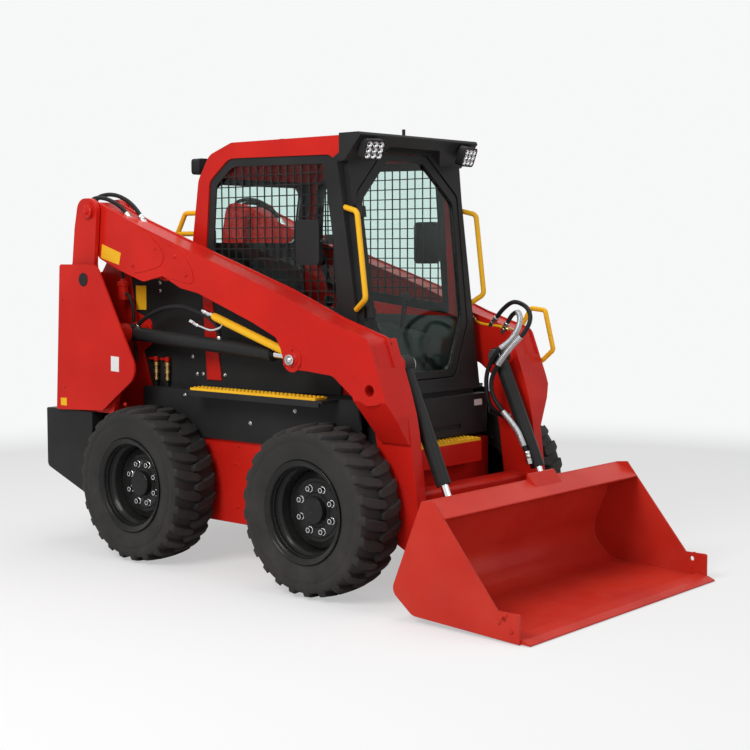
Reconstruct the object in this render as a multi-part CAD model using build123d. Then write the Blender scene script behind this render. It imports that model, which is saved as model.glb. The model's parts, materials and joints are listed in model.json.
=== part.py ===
# Skid steer loader: radial lift arms, enclosed cab, general-purpose bucket.
# Millimetres, +Z up, the machine faces -Y and its right side is at -X.
# Lengths along the machine are measured rearward from the front axle while the pieces
# are drawn; save() then moves every piece so that the origin lies on the ground under
# the middle of the whole machine.
from build123d import *
import os
from math import cos, radians, sin

os.makedirs("parts", exist_ok=True)

# ---------------------------------------------------------------- driving sizes
wheelbase = 1194            # front axle to rear axle
front_overhang = 1225       # front axle to the bucket's lip
rear_overhang = 784         # rear axle to the counterweight's rear face
running_gap = 0.3           # clearance of curved faces that turn on each other
pin_gap = 0.05              # radial clearance of a pin in its bore

tyre_r = 390                # 10-16.5 tyre, over the lugs
tyre_width = 264
tyre_outer_x = 765          # outer sidewall from the centre plane
bead_r = 213
flange_r = 233              # lip of the rim
lug_circle_r = 101.6        # eight wheel nuts
wheel_nuts = 8
hub_r = 62

frame_front = -112          # front plate of the chassis
frame_rear = 1700
frame_bottom = 216
frame_top = 626             # top of the chain cases
case_outer_x = 470
case_inner_x = 330
frame_wall = 12

tower_outer_x = 680
skin_wall = 12
ear_wall = 25
ear_outer_x = 645           # outer ear, just outside the arm
ear_inner_x = 398           # inner ear, just outside the cab
pivot_y, pivot_z = 1616, 1759
pivot_pin_r = 32

arm_outer_x = 614
arm_inner_x = 462           # upper arm; the leg stands further in, ahead of the cab
arm_wall = 12
leg_inner_x = 427
leg_outer_x = 490
lift_pin_y, lift_pin_z = 200, 1052
lift_base_y, lift_base_z = 1450, 1130
lift_x = 516
lift_barrel_r = 35
lift_rod_r = 20

tilt_top_y, tilt_top_z = -260, 1037
tilt_eye_y, tilt_eye_z = -542, 397
tilt_x = 360
tilt_barrel_r = 34
tilt_rod_r = 18

bucket_pin_y, bucket_pin_z = -480, 235
bucket_half = 755
bucket_wall = 8
bucket_side_wall = 10
edge_thick = 20

cab_half = 402
cab_wall = 30
pillar_outer_x = cab_half + 48      # at the brow
pillar_low_x = cab_half + 2         # at the sill
cab_top = 2073
cab_floor_z = 640
sill_z = 885

rear_y = wheelbase + rear_overhang
front_axle_y = (front_overhang - rear_y) / 2
wheel_x = tyre_outer_x - tyre_width / 2


# ---------------------------------------------------------------- helpers
def save(name, *solids):
    """Move the piece into the machine's frame and write it."""
    moved = [Pos(0, front_axle_y, 0) * s for s in solids]
    piece = moved[0] if len(moved) == 1 else Compound(children=moved)
    export_step(piece, f"parts/{name}.step")


def side_face(rows):
    """Face in the side view from rows of (y, z, corner radius)."""
    path = FilletPolyline(*[(y, z) for y, z, r in rows], radius=[r for y, z, r in rows], close=True)
    return Plane.YZ * make_face(path)


def slab(rows, x_from, x_to):
    """Side outline extruded from one x station to another."""
    return extrude(Pos(x_from, 0, 0) * side_face(rows), amount=x_to - x_from, dir=(1, 0, 0))


def block(x, y, z):
    """Box from (low, high) pairs."""
    size = [b - a for a, b in (x, y, z)]
    return Pos(x[0], y[0], z[0]) * Box(*size, align=(Align.MIN, Align.MIN, Align.MIN))


def rod_x(y, z, r, x_from, x_to):
    """Cylinder along X."""
    return Pos(x_from, y, z) * Rot(0, 90, 0) * Cylinder(
        r, x_to - x_from, align=(Align.CENTER, Align.CENTER, Align.MIN))


def bar(start, end, r):
    """Round bar between two points."""
    a, b = Vector(*start), Vector(*end)
    return extrude(Plane(a, z_dir=b - a) * Circle(r), amount=(b - a).length)


def tube_path(points, r, bend):
    """Bent tube of radius r through the points."""
    path = FilletPolyline(*points, radius=bend)
    return sweep(Plane(path @ 0, z_dir=path % 0) * Circle(r), path=path)


def both(solid):
    """A piece and its mirror image on the other side."""
    return [solid, mirror(solid, about=Plane.YZ)]


def turned(axis_y, axis_z, rows):
    """Ring turned about an axis along X from rows of (x, r, corner radius)."""
    path = FilletPolyline(*[(x, r) for x, r, c in rows], radius=[c for x, r, c in rows], close=True)
    ring = revolve(Plane.XY * make_face(path), axis=Axis.X)
    return Pos(0, axis_y, axis_z) * ring


# ---------------------------------------------------------------- wheels
def tyre(y):
    w = tyre_width / 2
    rows = [  # x, radius, corner radius
        (-w + 26, bead_r, 0), (-w + 20, bead_r + 30, 0), (-w, bead_r + 85, 0),
        (-w + 6, tyre_r - 40, 0), (-w + 22, tyre_r, 0),
        (w - 22, tyre_r, 0), (w - 6, tyre_r - 40, 0), (w, bead_r + 85, 0),
        (w - 20, bead_r + 30, 0), (w - 26, bead_r, 0)]
    return Pos(wheel_x, 0, 0) * turned(y, tyre_r, rows)


axle_r = 55
spindle_r = 32
housing_end_x = 598
disc_x = 655                # outer face of the wheel disc
disc_wall = 12


def rim(y):
    """Drop-centre rim, dished disc, hub and the spindle that runs in the axle housing."""
    w = tyre_width / 2
    seat_r = bead_r - running_gap
    rows = [  # x, radius, corner radius
        (-w + 6, flange_r, 0), (-w + 18, flange_r, 0), (-w + 18, seat_r, 0), (-w + 60, seat_r, 0),
        (-w + 78, seat_r - 20, 0), (w - 78, seat_r - 20, 0), (w - 60, seat_r, 0), (w - 18, seat_r, 0),
        (w - 18, flange_r, 0), (w - 6, flange_r, 0), (w - 9, seat_r - 8, 0), (w - 56, seat_r - 9, 0),
        (w - 74, seat_r - 29, 0), (-w + 74, seat_r - 29, 0), (-w + 56, seat_r - 9, 0),
        (-w + 9, seat_r - 8, 0)]
    shell = Pos(wheel_x, 0, 0) * turned(y, tyre_r, rows)
    disc = rod_x(y, tyre_r, seat_r - 24, disc_x - disc_wall, disc_x)
    hub = rod_x(y, tyre_r, 80, housing_end_x + 6, disc_x - disc_wall)
    cap = rod_x(y, tyre_r, hub_r, disc_x, disc_x + 34)
    spindle = rod_x(y, tyre_r, spindle_r - pin_gap, case_outer_x + 20, housing_end_x + 6)
    body = shell + disc + hub + cap + spindle
    for i in range(wheel_nuts):
        a = radians(360 / wheel_nuts * (i + 0.5))
        nut = rod_x(y + lug_circle_r * cos(a), tyre_r + lug_circle_r * sin(a), 13, disc_x, disc_x + 18)
        body += nut
    return body


wheels = [("front", 0), ("rear", wheelbase)]
for place, y in wheels:
    left_tyre, right_tyre = both(tyre(y))
    left_rim, right_rim = both(rim(y))
    save(f"tyre_{place}_left", left_tyre)
    save(f"tyre_{place}_right", right_tyre)
    save(f"rim_{place}_left", left_rim)
    save(f"rim_{place}_right", right_rim)

# ---------------------------------------------------------------- chassis
case_rows = [  # y, z, corner radius
    (frame_front, frame_bottom + 60, 0), (frame_front, frame_top, 12), (frame_rear - 120, frame_top, 12),
    (frame_rear - 120, frame_bottom + 90, 0), (frame_rear - 210, frame_bottom, 0),
    (frame_front + 60, frame_bottom, 0)]
cases = both(slab(case_rows, case_inner_x, case_outer_x))
floor_plate = block((-case_inner_x, case_inner_x), (frame_front + 60, frame_rear - 210),
                    (frame_bottom, frame_bottom + frame_wall))
front_plate = block((-case_inner_x, case_inner_x), (frame_front, frame_front + frame_wall),
                    (frame_bottom + 60, cab_floor_z - 12))
nose_plate = extrude(Plane.YZ.offset(-case_inner_x) * make_face(Polyline(
    (frame_front, frame_bottom + 60), (frame_front + frame_wall, frame_bottom + 64),
    (frame_front + 60, frame_bottom + 12), (frame_front + 60, frame_bottom), close=True)),
    amount=2 * case_inner_x)
rear_plate = block((-case_inner_x, case_inner_x), (frame_rear - 132, frame_rear - 120),
                   (frame_bottom + 90, frame_top))
main_frame = cases[0] + cases[1] + floor_plate + front_plate + nose_plate + rear_plate

housing_plate_r = 92


def axle_housing(y):
    tube = rod_x(y, tyre_r, axle_r, case_outer_x, housing_end_x)
    flange = rod_x(y, tyre_r, housing_plate_r, case_outer_x, case_outer_x + 14)
    bore = rod_x(y, tyre_r, spindle_r, case_outer_x + 14, housing_end_x + 1)
    return tube + flange - bore


save("main_frame", main_frame)
save("axle_housings", *[h for place, y in wheels for h in both(axle_housing(y))])

# counterweight: a cast block behind the rear wheels, open in the middle for the tow eye
weight_rows = [  # y, z, corner radius
    (rear_y - 2, 721, 10), (rear_y, 409, 30), (1676, 298, 10), (1590, 632, 0), (1590, 721, 0)]
weight_side_x = 664
weight_side = slab(weight_rows, case_outer_x + 12, weight_side_x)
weight_beam = block((-weight_side_x + 10, weight_side_x - 10), (1720, rear_y - 6), (430, 719))
hitch_pocket = block((-150, 150), (rear_y - 90, rear_y + 10), (470, 590))
hitch_hole_r = 14
hitch_y, hitch_z = rear_y - 50, 500
weight = weight_side + mirror(weight_side, about=Plane.YZ) + weight_beam - hitch_pocket
weight += block((-60, 60), (rear_y - 100, rear_y - 14), (hitch_z - 12, hitch_z + 12))
weight -= Pos(0, hitch_y, hitch_z) * Cylinder(hitch_hole_r, 600)
weight -= block((-case_inner_x + 2, case_inner_x - 2), (1719, 1781), (590, 720))
save("counterweight", weight)

# uprights: ears that hold the lift arms' pivots, tied by an inner wall, a rear wall and a shelf
tower_bottom = 721
ear_rows = [  # y, z, corner radius
    (1754, 1486, 30), (1730, 1668, 80), (1694, 1820, 66), (1540, 1820, 66), (1573, 1483, 60),
    (1520, 1200, 60), (1400, tower_bottom + 120, 0), (1440, tower_bottom, 0), (1800, tower_bottom, 0),
    (1790, 1440, 0)]
inner_wall = slab(ear_rows, ear_inner_x, ear_inner_x + ear_wall)
outer_wall = slab(ear_rows, ear_outer_x - ear_wall, ear_outer_x)
back_wall = block((ear_inner_x, ear_outer_x), (1788, 1800), (tower_bottom, 1438))
shelf = block((ear_inner_x, ear_outer_x), (1440, 1800), (tower_bottom, tower_bottom + 14))
inner_wall += block((ear_inner_x, ear_inner_x + ear_wall), (1400, 1575), (frame_top, tower_bottom + 130))
lift_lug = slab([(lift_base_y - 50, lift_base_z - 60, 10), (lift_base_y - 50, lift_base_z + 50, 30),
                 (lift_base_y + 50, lift_base_z + 50, 30), (lift_base_y + 70, lift_base_z - 60, 10)],
                ear_inner_x + ear_wall, ear_inner_x + ear_wall + 20)
upright = inner_wall + outer_wall + back_wall + shelf
lift_base_boss = rod_x(lift_base_y, lift_base_z, 52, ear_inner_x + ear_wall, lift_x - 30)
lift_base_boss += rod_x(lift_base_y, lift_base_z, 52, lift_x + 30, ear_outer_x - ear_wall)
lift_base_pin = rod_x(lift_base_y, lift_base_z, 22, lift_x - 31, lift_x + 31)
ear_reach = slab([(1395, 1070, 30), (1395, 1190, 40), (1540, 1240, 0), (1540, 1000, 0)],
                 ear_outer_x - ear_wall, ear_outer_x)
ear_reach += slab([(1395, 1070, 30), (1395, 1190, 40), (1540, 1240, 0), (1540, 1000, 0)],
                  ear_inner_x, ear_inner_x + ear_wall)
upright += ear_reach + lift_base_boss + lift_base_pin
pivot_pin = rod_x(pivot_y, pivot_z, pivot_pin_r, ear_inner_x, ear_outer_x)
pivot_cap = rod_x(pivot_y, pivot_z, 42, ear_outer_x, ear_outer_x + 10)
upright += pivot_pin + pivot_cap
save("uprights", *both(upright))

tower_rows = [  # y, z, corner radius
    (1867, 719, 12), (1818, 1482, 16), (1515, 1482, 70), (1197, 938, 85), (1484, 737, 30)]
skin = slab(tower_rows, tower_outer_x - skin_wall, tower_outer_x)
skin -= rod_x(1619, 1404, 34, tower_outer_x - skin_wall - 1, tower_outer_x + 1)
plug = rod_x(1619, 1404, 33.7, tower_outer_x - skin_wall, tower_outer_x + 4)
spacers = [rod_x(y, z, 18, ear_outer_x, tower_outer_x - skin_wall)
           for y, z in ((1700, 1300), (1700, 820), (1480, 860))]
panel = skin + spacers[0] + spacers[1] + spacers[2]
save("tower_panels", *both(panel))
save("tower_plugs", *both(plug))

# engine bay
engine = block((-260, 260), (1130, 1550), (frame_bottom + 60, 1080))
engine += block((-200, 200), (1160, 1540), (1080, 1250))
feet = [block((x, x + 60), (y, y + 80), (frame_bottom + frame_wall, frame_bottom + 60))
        for x in (-230, 170) for y in (1180, 1400)]
for foot in feet:
    engine += foot
save("engine_block", engine)

side_panel_rows = [  # y, z, corner radius
    (70, sill_z, 0), (70, 1240, 20), (905, 1290, 0), (1100, 1430, 20), (1395, 1430, 20), (1395, 1000, 0),
    (1395, sill_z - 30, 0), (950, sill_z - 30, 0)]
side_panel = slab(side_panel_rows, cab_half + 1, cab_half + 13)
fender_rows = [  # y, z, corner radius
    (-94, 860, 8), (-112, 737, 20), (-60, frame_top, 0), (1390, frame_top, 0), (1390, sill_z - 30, 0),
    (950, sill_z - 30, 0), (940, 872, 0), (-60, 872, 20)]
fender_skirt = slab(fender_rows, case_outer_x + 4, case_outer_x + 16)
fender_top = block((cab_half + 1, 600), (20, 930), (860, 872))
fender_top += block((cab_half + 1, case_outer_x + 16), (-60, 30), (860, 872))
fender_top += block((cab_half + 1, case_outer_x + 16), (925, 1390), (sill_z - 42, sill_z - 30))
fender_lip = block((588, 600), (40, 910), (842, 860))
fender_foot = block((cab_half + 1, case_outer_x + 4), (-60, 1390), (frame_top, frame_top + 10))
fender = side_panel + fender_skirt + fender_top + fender_lip + fender_foot
save("side_panels", *both(fender))

tread_rows = [  # y, z, corner radius
    (60, 872, 0), (60, 884, 2), (900, 884, 2), (900, 872, 0)]
side_tread = slab(tread_rows, 520, 604 - 4)

# front: black box under the door, step on a red bracket
front_box_half = 415
front_box = block((-front_box_half, front_box_half), (-150, frame_front + 20), (656, 848))
front_box = fillet(front_box.edges().filter_by(Axis.Z), 12)
front_box -= block((-200, 200), (-152, -140), (690, 712))
save("front_box", front_box)
step_box = block((-270, 270), (-235, frame_front), (535, 634))
step_box = fillet(step_box.edges().filter_by(Axis.Z).sort_by(Axis.Y)[:2], 25)
step_box -= block((-258, 258), (-223, frame_front + 1), (534, 622))
save("step_box", step_box)
front_tread = block((-262, 262), (-233, frame_front), (634, 646))
front_tread = fillet(front_tread.edges().filter_by(Axis.Z).sort_by(Axis.Y)[:2], 22)
save("step_treads", front_tread, *both(side_tread))

# ---------------------------------------------------------------- cab
lean = 0.126                # the front leans back this much for each mm of height
front_top_y, front_top_z = 32, 1998


def front_y(z):
    """Outer face of the cab's front at a height."""
    return front_top_y - (front_top_z - z) * lean


side_rows = [  # y, z, corner radius
    (-20, cab_top - 3, 0), (800, cab_top, 60), (960, cab_top - 53, 90), (1040, 1900, 80), (1091, 1581, 60),
    (1085, 1400, 40), (1015, 1290, 30), (946, sill_z, 0), (front_y(sill_z) + 40, sill_z, 0),
    (front_y(1930) + 40, 1930, 0)]
window_rows = [  # y, z, corner radius
    (106, 1985, 70), (820, 1997, 110), (960, 1890, 60), (990, 1560, 40), (880, 1320, 40), (60, 1230, 20)]
lower_rows = [  # y, z, corner radius
    (40, 1190, 20), (858, 1250, 20), (810, sill_z + 50, 20), (0, sill_z + 50, 20)]
cab_side = slab(side_rows, cab_half - cab_wall, cab_half) - slab(window_rows, cab_half - cab_wall - 1, cab_half + 1)
cab_side -= slab(lower_rows, cab_half - 12, cab_half + 1)
save("cab_sides", *both(cab_side))

roof_rows = [  # y, z, corner radius
    (60, cab_top - 33, 0), (60, cab_top, 0), (802, cab_top, 60), (962, cab_top - 53, 90), (1026, 1925, 0),
    (1000, 1910, 0), (935, cab_top - 73, 60), (790, cab_top - 33, 40)]
roof = slab(roof_rows, -cab_half + cab_wall, cab_half - cab_wall)
roof += block((-240, 240), (160, 760), (cab_top, cab_top + 4))
save("cab_roof", roof)

rear_wall_rows = [  # y, z, corner radius
    (1000, 1910, 0), (1026, 1925, 0), (1083, 1581, 0), (1078, 1400, 0), (1078, cab_floor_z, 0),
    (1052, cab_floor_z, 0), (1052, 1400, 0), (1056, 1578, 0)]
rear_wall = slab(rear_wall_rows, -cab_half + cab_wall, cab_half - cab_wall)


def rear_light(gap):
    """The rear window's opening, smaller by a gap all round, cut through the rear wall."""
    face = RectangleRounded(620 - 2 * gap, 290 - 2 * gap, 50 - gap)
    return Pos(0, 0, 1735) * extrude(Plane.XZ.offset(-1200) * face, amount=400)


rear_wall -= rear_light(0)

cab_floor = block((-cab_half + cab_wall, cab_half - cab_wall), (frame_front + 20, 1052),
                  (cab_floor_z - 12, cab_floor_z))
tub_side = block((cab_half - cab_wall, cab_half), (-50, 1078), (cab_floor_z - 12, sill_z))
toe_board = block((-cab_half + cab_wall, cab_half - cab_wall), (frame_front + 20, frame_front + 28),
                  (cab_floor_z, sill_z - 14))
cab_floor += toe_board + tub_side + mirror(tub_side, about=Plane.YZ)
save("cab_floor", cab_floor)

# front frame: leaning pillars, lower beam and brow
frame_depth = 40
door_rows = [  # x, z, corner radius of one half, top to bottom
    (158, cab_top - 75, 30), (cab_half - 34, 1805, 50), (cab_half - 49, 1192, 60), (216, 940, 60)]


def leaning_plate(rows, y_front, thickness):
    """Plate in the cab's leaning front plane from rows of (x, z, corner radius)."""
    ring = [(x, z) for x, z, r in rows]
    path = FilletPolyline(*ring, radius=[r for x, z, r in rows], close=True)
    face = Plane.XZ * make_face(path)
    solid = extrude(face, amount=-800, both=True)
    z_low, z_high = 600, 2150
    cutter = Plane.YZ.offset(-700) * make_face(Polyline(
        (front_y(z_low) + y_front, z_low), (front_y(z_high) + y_front, z_high),
        (front_y(z_high) + y_front + thickness, z_high), (front_y(z_low) + y_front + thickness, z_low),
        close=True))
    return solid & extrude(cutter, amount=1400)


def full_ring(rows, grow=0):
    """Both halves of a symmetric outline, grown outward by a margin."""
    right = [(x + grow, z + (grow if z > 1500 else -grow), r) for x, z, r in rows]
    left = [(-x, z, r) for x, z, r in reversed(right)]
    return right + left


frame_outer = full_ring([(cab_half + 2, cab_top - 33, 0), (cab_half + 2, sill_z - 13, 0)])
door_gap = 6
door_swing_gap = 24         # the brow stands this far clear of the door that swings out under it
cab_front = leaning_plate(frame_outer, 0, frame_depth)
cab_front -= leaning_plate(full_ring(door_rows, door_gap), -1, frame_depth + 2)
pillar_rows = full_ring([(pillar_outer_x, cab_top - 122, 0), (pillar_low_x, sill_z - 13, 0)])
pillar_core = full_ring([(cab_half + 1, cab_top - 113, 0), (cab_half + 1, sill_z - 20, 0)])
pillars = leaning_plate(pillar_rows, 30, 85) - leaning_plate(pillar_core, 29, 90)
cab_front += pillars
brow_rows = [  # y, z, corner radius
    (-72, cab_top - 9, 6), (-62, cab_top + 4, 6), (60, cab_top + 4, 0), (60, cab_top - 83, 0),
    (150, cab_top - 137, 4), (30, cab_top - 121, 8)]
brow = slab(brow_rows, -cab_half - 30, cab_half + 30)
brow_hollow = slab([(60, cab_top - 23, 0), (60, cab_top - 173, 0), (200, cab_top - 173, 0), (200, cab_top - 23, 0)],
                   -cab_half + 10, cab_half - 10)
cab_front += brow - brow_hollow
cab_front -= leaning_plate(full_ring(door_rows, door_gap), -1, frame_depth + 2)
cab_front -= leaning_plate(full_ring(door_rows, door_swing_gap), -120, 120)
cab_front -= slab(side_rows, cab_half - cab_wall, cab_half + 0.5)
cab_front -= slab(side_rows, -cab_half - 0.5, -cab_half + cab_wall)
door_hinges = []

# window guards: a frame with square wire mesh, and the glass behind it
mesh_pitch = 50
wire = 5
guard_open_rows = [  # y, z, corner radius
    (165, 1945, 60), (800, 1957, 90), (918, 1868, 50), (944, 1570, 40), (860, 1366, 40), (112, 1280, 20)]
guard_x = cab_half - 8
guard_plate = slab(window_rows, guard_x - 8, guard_x) - slab(guard_open_rows, guard_x - 9, guard_x + 1)


def mesh(rows, x_across, x_up):
    """Wire mesh clipped to a side outline: level wires at one depth, upright ones behind."""
    ys = [y for y, z, r in rows]
    zs = [z for y, z, r in rows]
    wires = []
    area = slab(rows, x_up - 20, x_across + 20)
    z = min(zs) + mesh_pitch / 2
    while z < max(zs):
        wires.append(block((x_across, x_across + wire), (min(ys) - 5, max(ys) + 5), (z, z + wire)) & area)
        z += mesh_pitch
    y = min(ys) + mesh_pitch / 2
    while y < max(ys):
        wires.append(block((x_up, x_up + wire), (y, y + wire), (min(zs) - 5, max(zs) + 5)) & area)
        y += mesh_pitch
    return wires


guard = guard_plate
for w in mesh(guard_open_rows, guard_x - 6, guard_x - 12):
    guard += w
save("window_guards", *both(guard))
side_glass = slab(window_rows, guard_x - 20, guard_x - 15)
rear_glass = slab([(1064, 1578, 0), (1070, 1578, 0), (1014, 1910, 0), (1008, 1910, 0)], -350, 350)
rear_glass &= rear_light(running_gap)
save("window_glass", *both(side_glass), rear_glass)

# door: frame, glass and handle
door_wall = 30
door_ring = leaning_plate(full_ring(door_rows), 4, door_wall)
door_open_rows = full_ring(door_rows, -32)
door_frame = door_ring - leaning_plate(door_open_rows, 3, door_wall + 2)
door_glass = leaning_plate(full_ring(door_rows, -32.3), 14, 6)
hinge_x, hinge_out = -cab_half + 18, 14
for z in (1240, 1700):
    axis_at = Plane((hinge_x, front_y(z) - hinge_out, z), x_dir=(1, 0, 0), z_dir=(0, lean, 1))
    knuckle = extrude(axis_at * Circle(12), amount=50)
    strap = extrude(axis_at * (Pos(27, 8) * Rectangle(54, 8)), amount=50)
    strap += extrude(axis_at * (Pos(43, 13) * Rectangle(22, 14)), amount=50)
    bore = extrude(axis_at * Circle(6 + pin_gap), amount=60, both=True)
    door_frame += knuckle + strap - bore
    hinge_pin = extrude(axis_at.offset(-8) * Circle(6), amount=66)
    lugs = extrude(axis_at.offset(-8) * (Pos(-4, 7) * Rectangle(16, 20)), amount=7)
    lugs += extrude(axis_at.offset(51) * (Pos(-4, 7) * Rectangle(16, 20)), amount=7)
    door_hinges.append(hinge_pin + lugs)
save("door_frame", door_frame)
for piece in door_hinges:
    cab_front += piece
save("cab_front", cab_front)
save("door_glass", door_glass)

# lamps, handrails, mirrors, roof fittings
lamp_body = Pos(340, -34, cab_top - 67) * Rot(-50, 0, 0) * Box(86, 70, 30)
work_lamp = block((-340, -262), (1084, 1162), (1934, 2016))
work_lamp = fillet(work_lamp.edges().filter_by(Axis.Y), 14)
work_lamp += block((-312, -290), (960, 1084), (1956, 1978))
save("lamps", *both(lamp_body - brow), work_lamp - roof)

rail_r = 12.5
grip_x = cab_half + 38
grip_points = [(grip_x - 14, front_y(1742) + 29.7, 1742), (grip_x, -56, 1722), (grip_x, -106, 1330),
               (grip_x - 22, front_y(1279) + 29.7, 1279)]
grip = tube_path(grip_points, rail_r, 30)
save("grab_handles", *both(grip - cab_front))

# handrail behind the cab on the right, fixed to the cab's rear corner
rail_x = -385
rear_rail = tube_path([(rail_x, 1060, 1738), (rail_x, 1160, 1738), (rail_x, 1222, 1635)], rail_r, 24)
rear_rail += bar((rail_x, 1070, 1635), (rail_x, 1610, 1635), rail_r)
rear_rail += rod_x(1596, 1635, 10, -ear_inner_x, rail_x)
rear_rail -= mirror(cab_side, about=Plane.YZ)
save("rear_handrail", rear_rail)

# mirrors, swung back along the windows so that the arms can pass
mirror_x = cab_half + 16
mirror_plate = slab([(175, 1480, 24), (175, 1690, 24), (325, 1690, 24), (325, 1480, 24)],
                    mirror_x, mirror_x + 28)
mirror_arm = bar((mirror_x + 12, 130, 1590), (mirror_x + 12, 180, 1590), 9)
mirror_arm += block((cab_half + 4, mirror_x + 16), (front_y(1620) + 115.1, 150), (1575, 1620))
save("mirrors", *both(mirror_plate + mirror_arm))

# roof fittings: antenna and beacon socket
fittings = [Pos(60, 90, cab_top) * Cylinder(8, 50, align=(Align.CENTER, Align.CENTER, Align.MIN)),
            Pos(-200, 640, cab_top + 4) * Cylinder(22, 16, align=(Align.CENTER, Align.CENTER, Align.MIN))]
save("roof_fittings", *fittings)

# operator's seat and consoles
seat_base = block((-160, 160), (460, 800), (cab_floor_z, 900))
cushion = block((-215, 215), (420, 840), (900, 1010))
cushion = fillet(cushion.edges().filter_by(Axis.Z), 30)
seat_back = slab([(740, 1010, 0), (840, 1010, 0), (960, 1560, 40), (860, 1560, 40)], -200, 200)
save("seat", cushion + seat_base, seat_back)
console = slab([(180, 1130, 30), (180, 1010, 30), (300, cab_floor_z, 0), (700, cab_floor_z, 0),
                (760, 1100, 40), (420, 1180, 60)], cab_half - 167, cab_half - 57)
save("consoles", *both(console))
lever_x = cab_half - 112
lever = bar((lever_x, 300, 1150), (lever_x - 10, 270, 1300), 12) + Pos(lever_x - 10, 268, 1310) * Sphere(26)
save("joysticks", *both(lever - console))

# ---------------------------------------------------------------- rear body
lid_top = 1448
lid_y, lid_z = 1112, 1440      # hinge line of the engine lid
lid = block((-366, 366), (1130, 1780), (lid_top - 24, lid_top))
lid = fillet(lid.edges().filter_by(Axis.Z), 30)
lid_brackets = []
for x in (-240, 240):
    lid += rod_x(lid_y, lid_z, 12, x - 30, x + 30)
    lid += block((x - 30, x + 30), (lid_y, 1140), (lid_top - 20, lid_top - 4))
    lid -= rod_x(lid_y, lid_z, 6 + pin_gap, x - 31, x + 31)
    lid_brackets.append(rod_x(lid_y, lid_z, 6, x - 40, x + 40))
    for side in (-1, 1):
        cheek = sorted((x + side * 33, x + side * 40))
        lid_brackets.append(block(cheek, (1078, lid_y + 10), (lid_z - 14, lid_z + 8)))
save("engine_lid", lid)
for piece in lid_brackets:
    rear_wall += piece
save("cab_rear_wall", rear_wall)

door_pin_x, door_pin_y = -396, 1866
rear_frame = block((-ear_inner_x, ear_inner_x), (1786, 1800), (tower_bottom, lid_top))
rear_frame -= block((-340, 340), (1785, 1801), (tower_bottom + 30, 1400))
rear_door = block((-384, 384), (1806, 1850), (tower_bottom + 8, 1440))
rear_door -= block((-360, 360), (1805, 1838), (tower_bottom + 34, 1415))
louvres, louvre_pitch = 9, 55
for i in range(louvres):
    z = 860 + louvre_pitch * i
    rear_door -= block((-280, 280), (1830, 1851), (z, z + 22))
for z in (820, 1320):
    rear_door += Pos(door_pin_x, door_pin_y, z) * Cylinder(13, 50)
    rear_door += block((door_pin_x, -330), (1850, 1858), (z - 25, z + 25))
    rear_door -= Pos(door_pin_x, door_pin_y, z) * Cylinder(7 + pin_gap, 60)
    rear_frame += Pos(door_pin_x, door_pin_y, z) * Cylinder(7, 70)
    for low in (z - 35, z + 26):
        rear_frame += block((door_pin_x - 1, door_pin_x + 7), (1786, door_pin_y), (low, low + 9))
save("rear_frame", rear_frame)
save("rear_door", rear_door)

# ---------------------------------------------------------------- lift arms
arm_rows = [  # y, z, corner radius
    (1590, 1806, 20), (1341, 1706, 0), (843, 1538, 0), (323, 1370, 0), (-7, 1242, 60), (-272, 1160, 60),
    (-360, 930, 30), (-340, 880, 40), (-262, 870, 40), (-179, 905, 60), (-60, 992, 60), (99, 1005, 40),
    (170, 1008, 30), (232, 1010, 30), (262, 1100, 20), (292, 1150, 20), (451, 1217, 0), (819, 1345, 60),
    (945, 1368, 60), (1079, 1426, 40), (1224, 1396, 60), (1415, 1454, 0), (1566, 1511, 40),
    (1668, 1640, 60), (1684, 1800, 62)]
core_rows = [  # y, z, corner radius
    (1590, 1800, 0), (1341, 1700, 0), (843, 1532, 0), (323, 1364, 0), (-7, 1236, 60), (-266, 1154, 56),
    (-352, 930, 30), (-330, 890, 30), (-262, 880, 40), (-179, 915, 60), (-60, 1002, 60), (60, 1015, 0),
    (60, 1140, 30), (292, 1165, 20), (451, 1228, 0), (819, 1356, 60),
    (945, 1379, 60), (1079, 1437, 40), (1224, 1407, 60), (1415, 1465, 0), (1566, 1521, 40),
    (1655, 1645, 60), (1672, 1790, 60)]
leg_rows = [  # y, z, corner radius
    (-272, 1160, 0), (-360, 930, 30), (-392, 826, 0), (-409, 740, 0), (-444, 455, 60), (-462, 300, 60),
    (-534, 250, 30), (-528, 194, 40), (-480, 176, 30), (-433, 200, 20), (-330, 250, 30), (-262, 300, 40),
    (-214, 679, 30), (-202, 739, 20), (-139, 818, 20), (-166, 900, 0), (-207, 1000, 0), (-240, 1080, 0),
    (-256, 1155, 0)]
ear_hole_r = pivot_pin_r + pin_gap
bucket_pin_r = 22

outer_plate = slab(arm_rows, arm_outer_x - arm_wall, arm_outer_x)
inner_plate = slab(arm_rows, arm_inner_x, arm_inner_x + arm_wall)
core = slab(core_rows, arm_inner_x + arm_wall, arm_outer_x - arm_wall)
leg = slab(leg_rows, leg_inner_x, leg_outer_x)
gusset = slab([(-320, 1035, 0), (-360, 930, 30), (-392, 826, 0), (-409, 700, 0), (-250, 700, 0),
               (-179, 905, 0), (-150, 1000, 0)], leg_outer_x, arm_outer_x)
taper = extrude(Plane.XZ * make_face(Polyline(
    (leg_outer_x, 680), (arm_outer_x, 890), (arm_outer_x + 60, 890), (arm_outer_x + 60, 600),
    (leg_outer_x, 600), close=True)), amount=700)
gusset -= taper
arm = outer_plate + inner_plate + core + gusset
arm += rod_x(pivot_y, pivot_z, 58, ear_inner_x + ear_wall + 3, arm_inner_x)
arm -= rod_x(pivot_y, pivot_z, ear_hole_r, ear_inner_x, arm_outer_x + 1)
arm -= rod_x(-278, 938, 26, arm_outer_x - 60, arm_outer_x + 1)
tilt_boss_r = 42
leg += rod_x(tilt_top_y, tilt_top_z, tilt_boss_r, tilt_x + 36, leg_inner_x)
leg -= rod_x(bucket_pin_y, bucket_pin_z, bucket_pin_r + pin_gap, leg_inner_x - 1, leg_outer_x + 1)
leg -= arm
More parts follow.
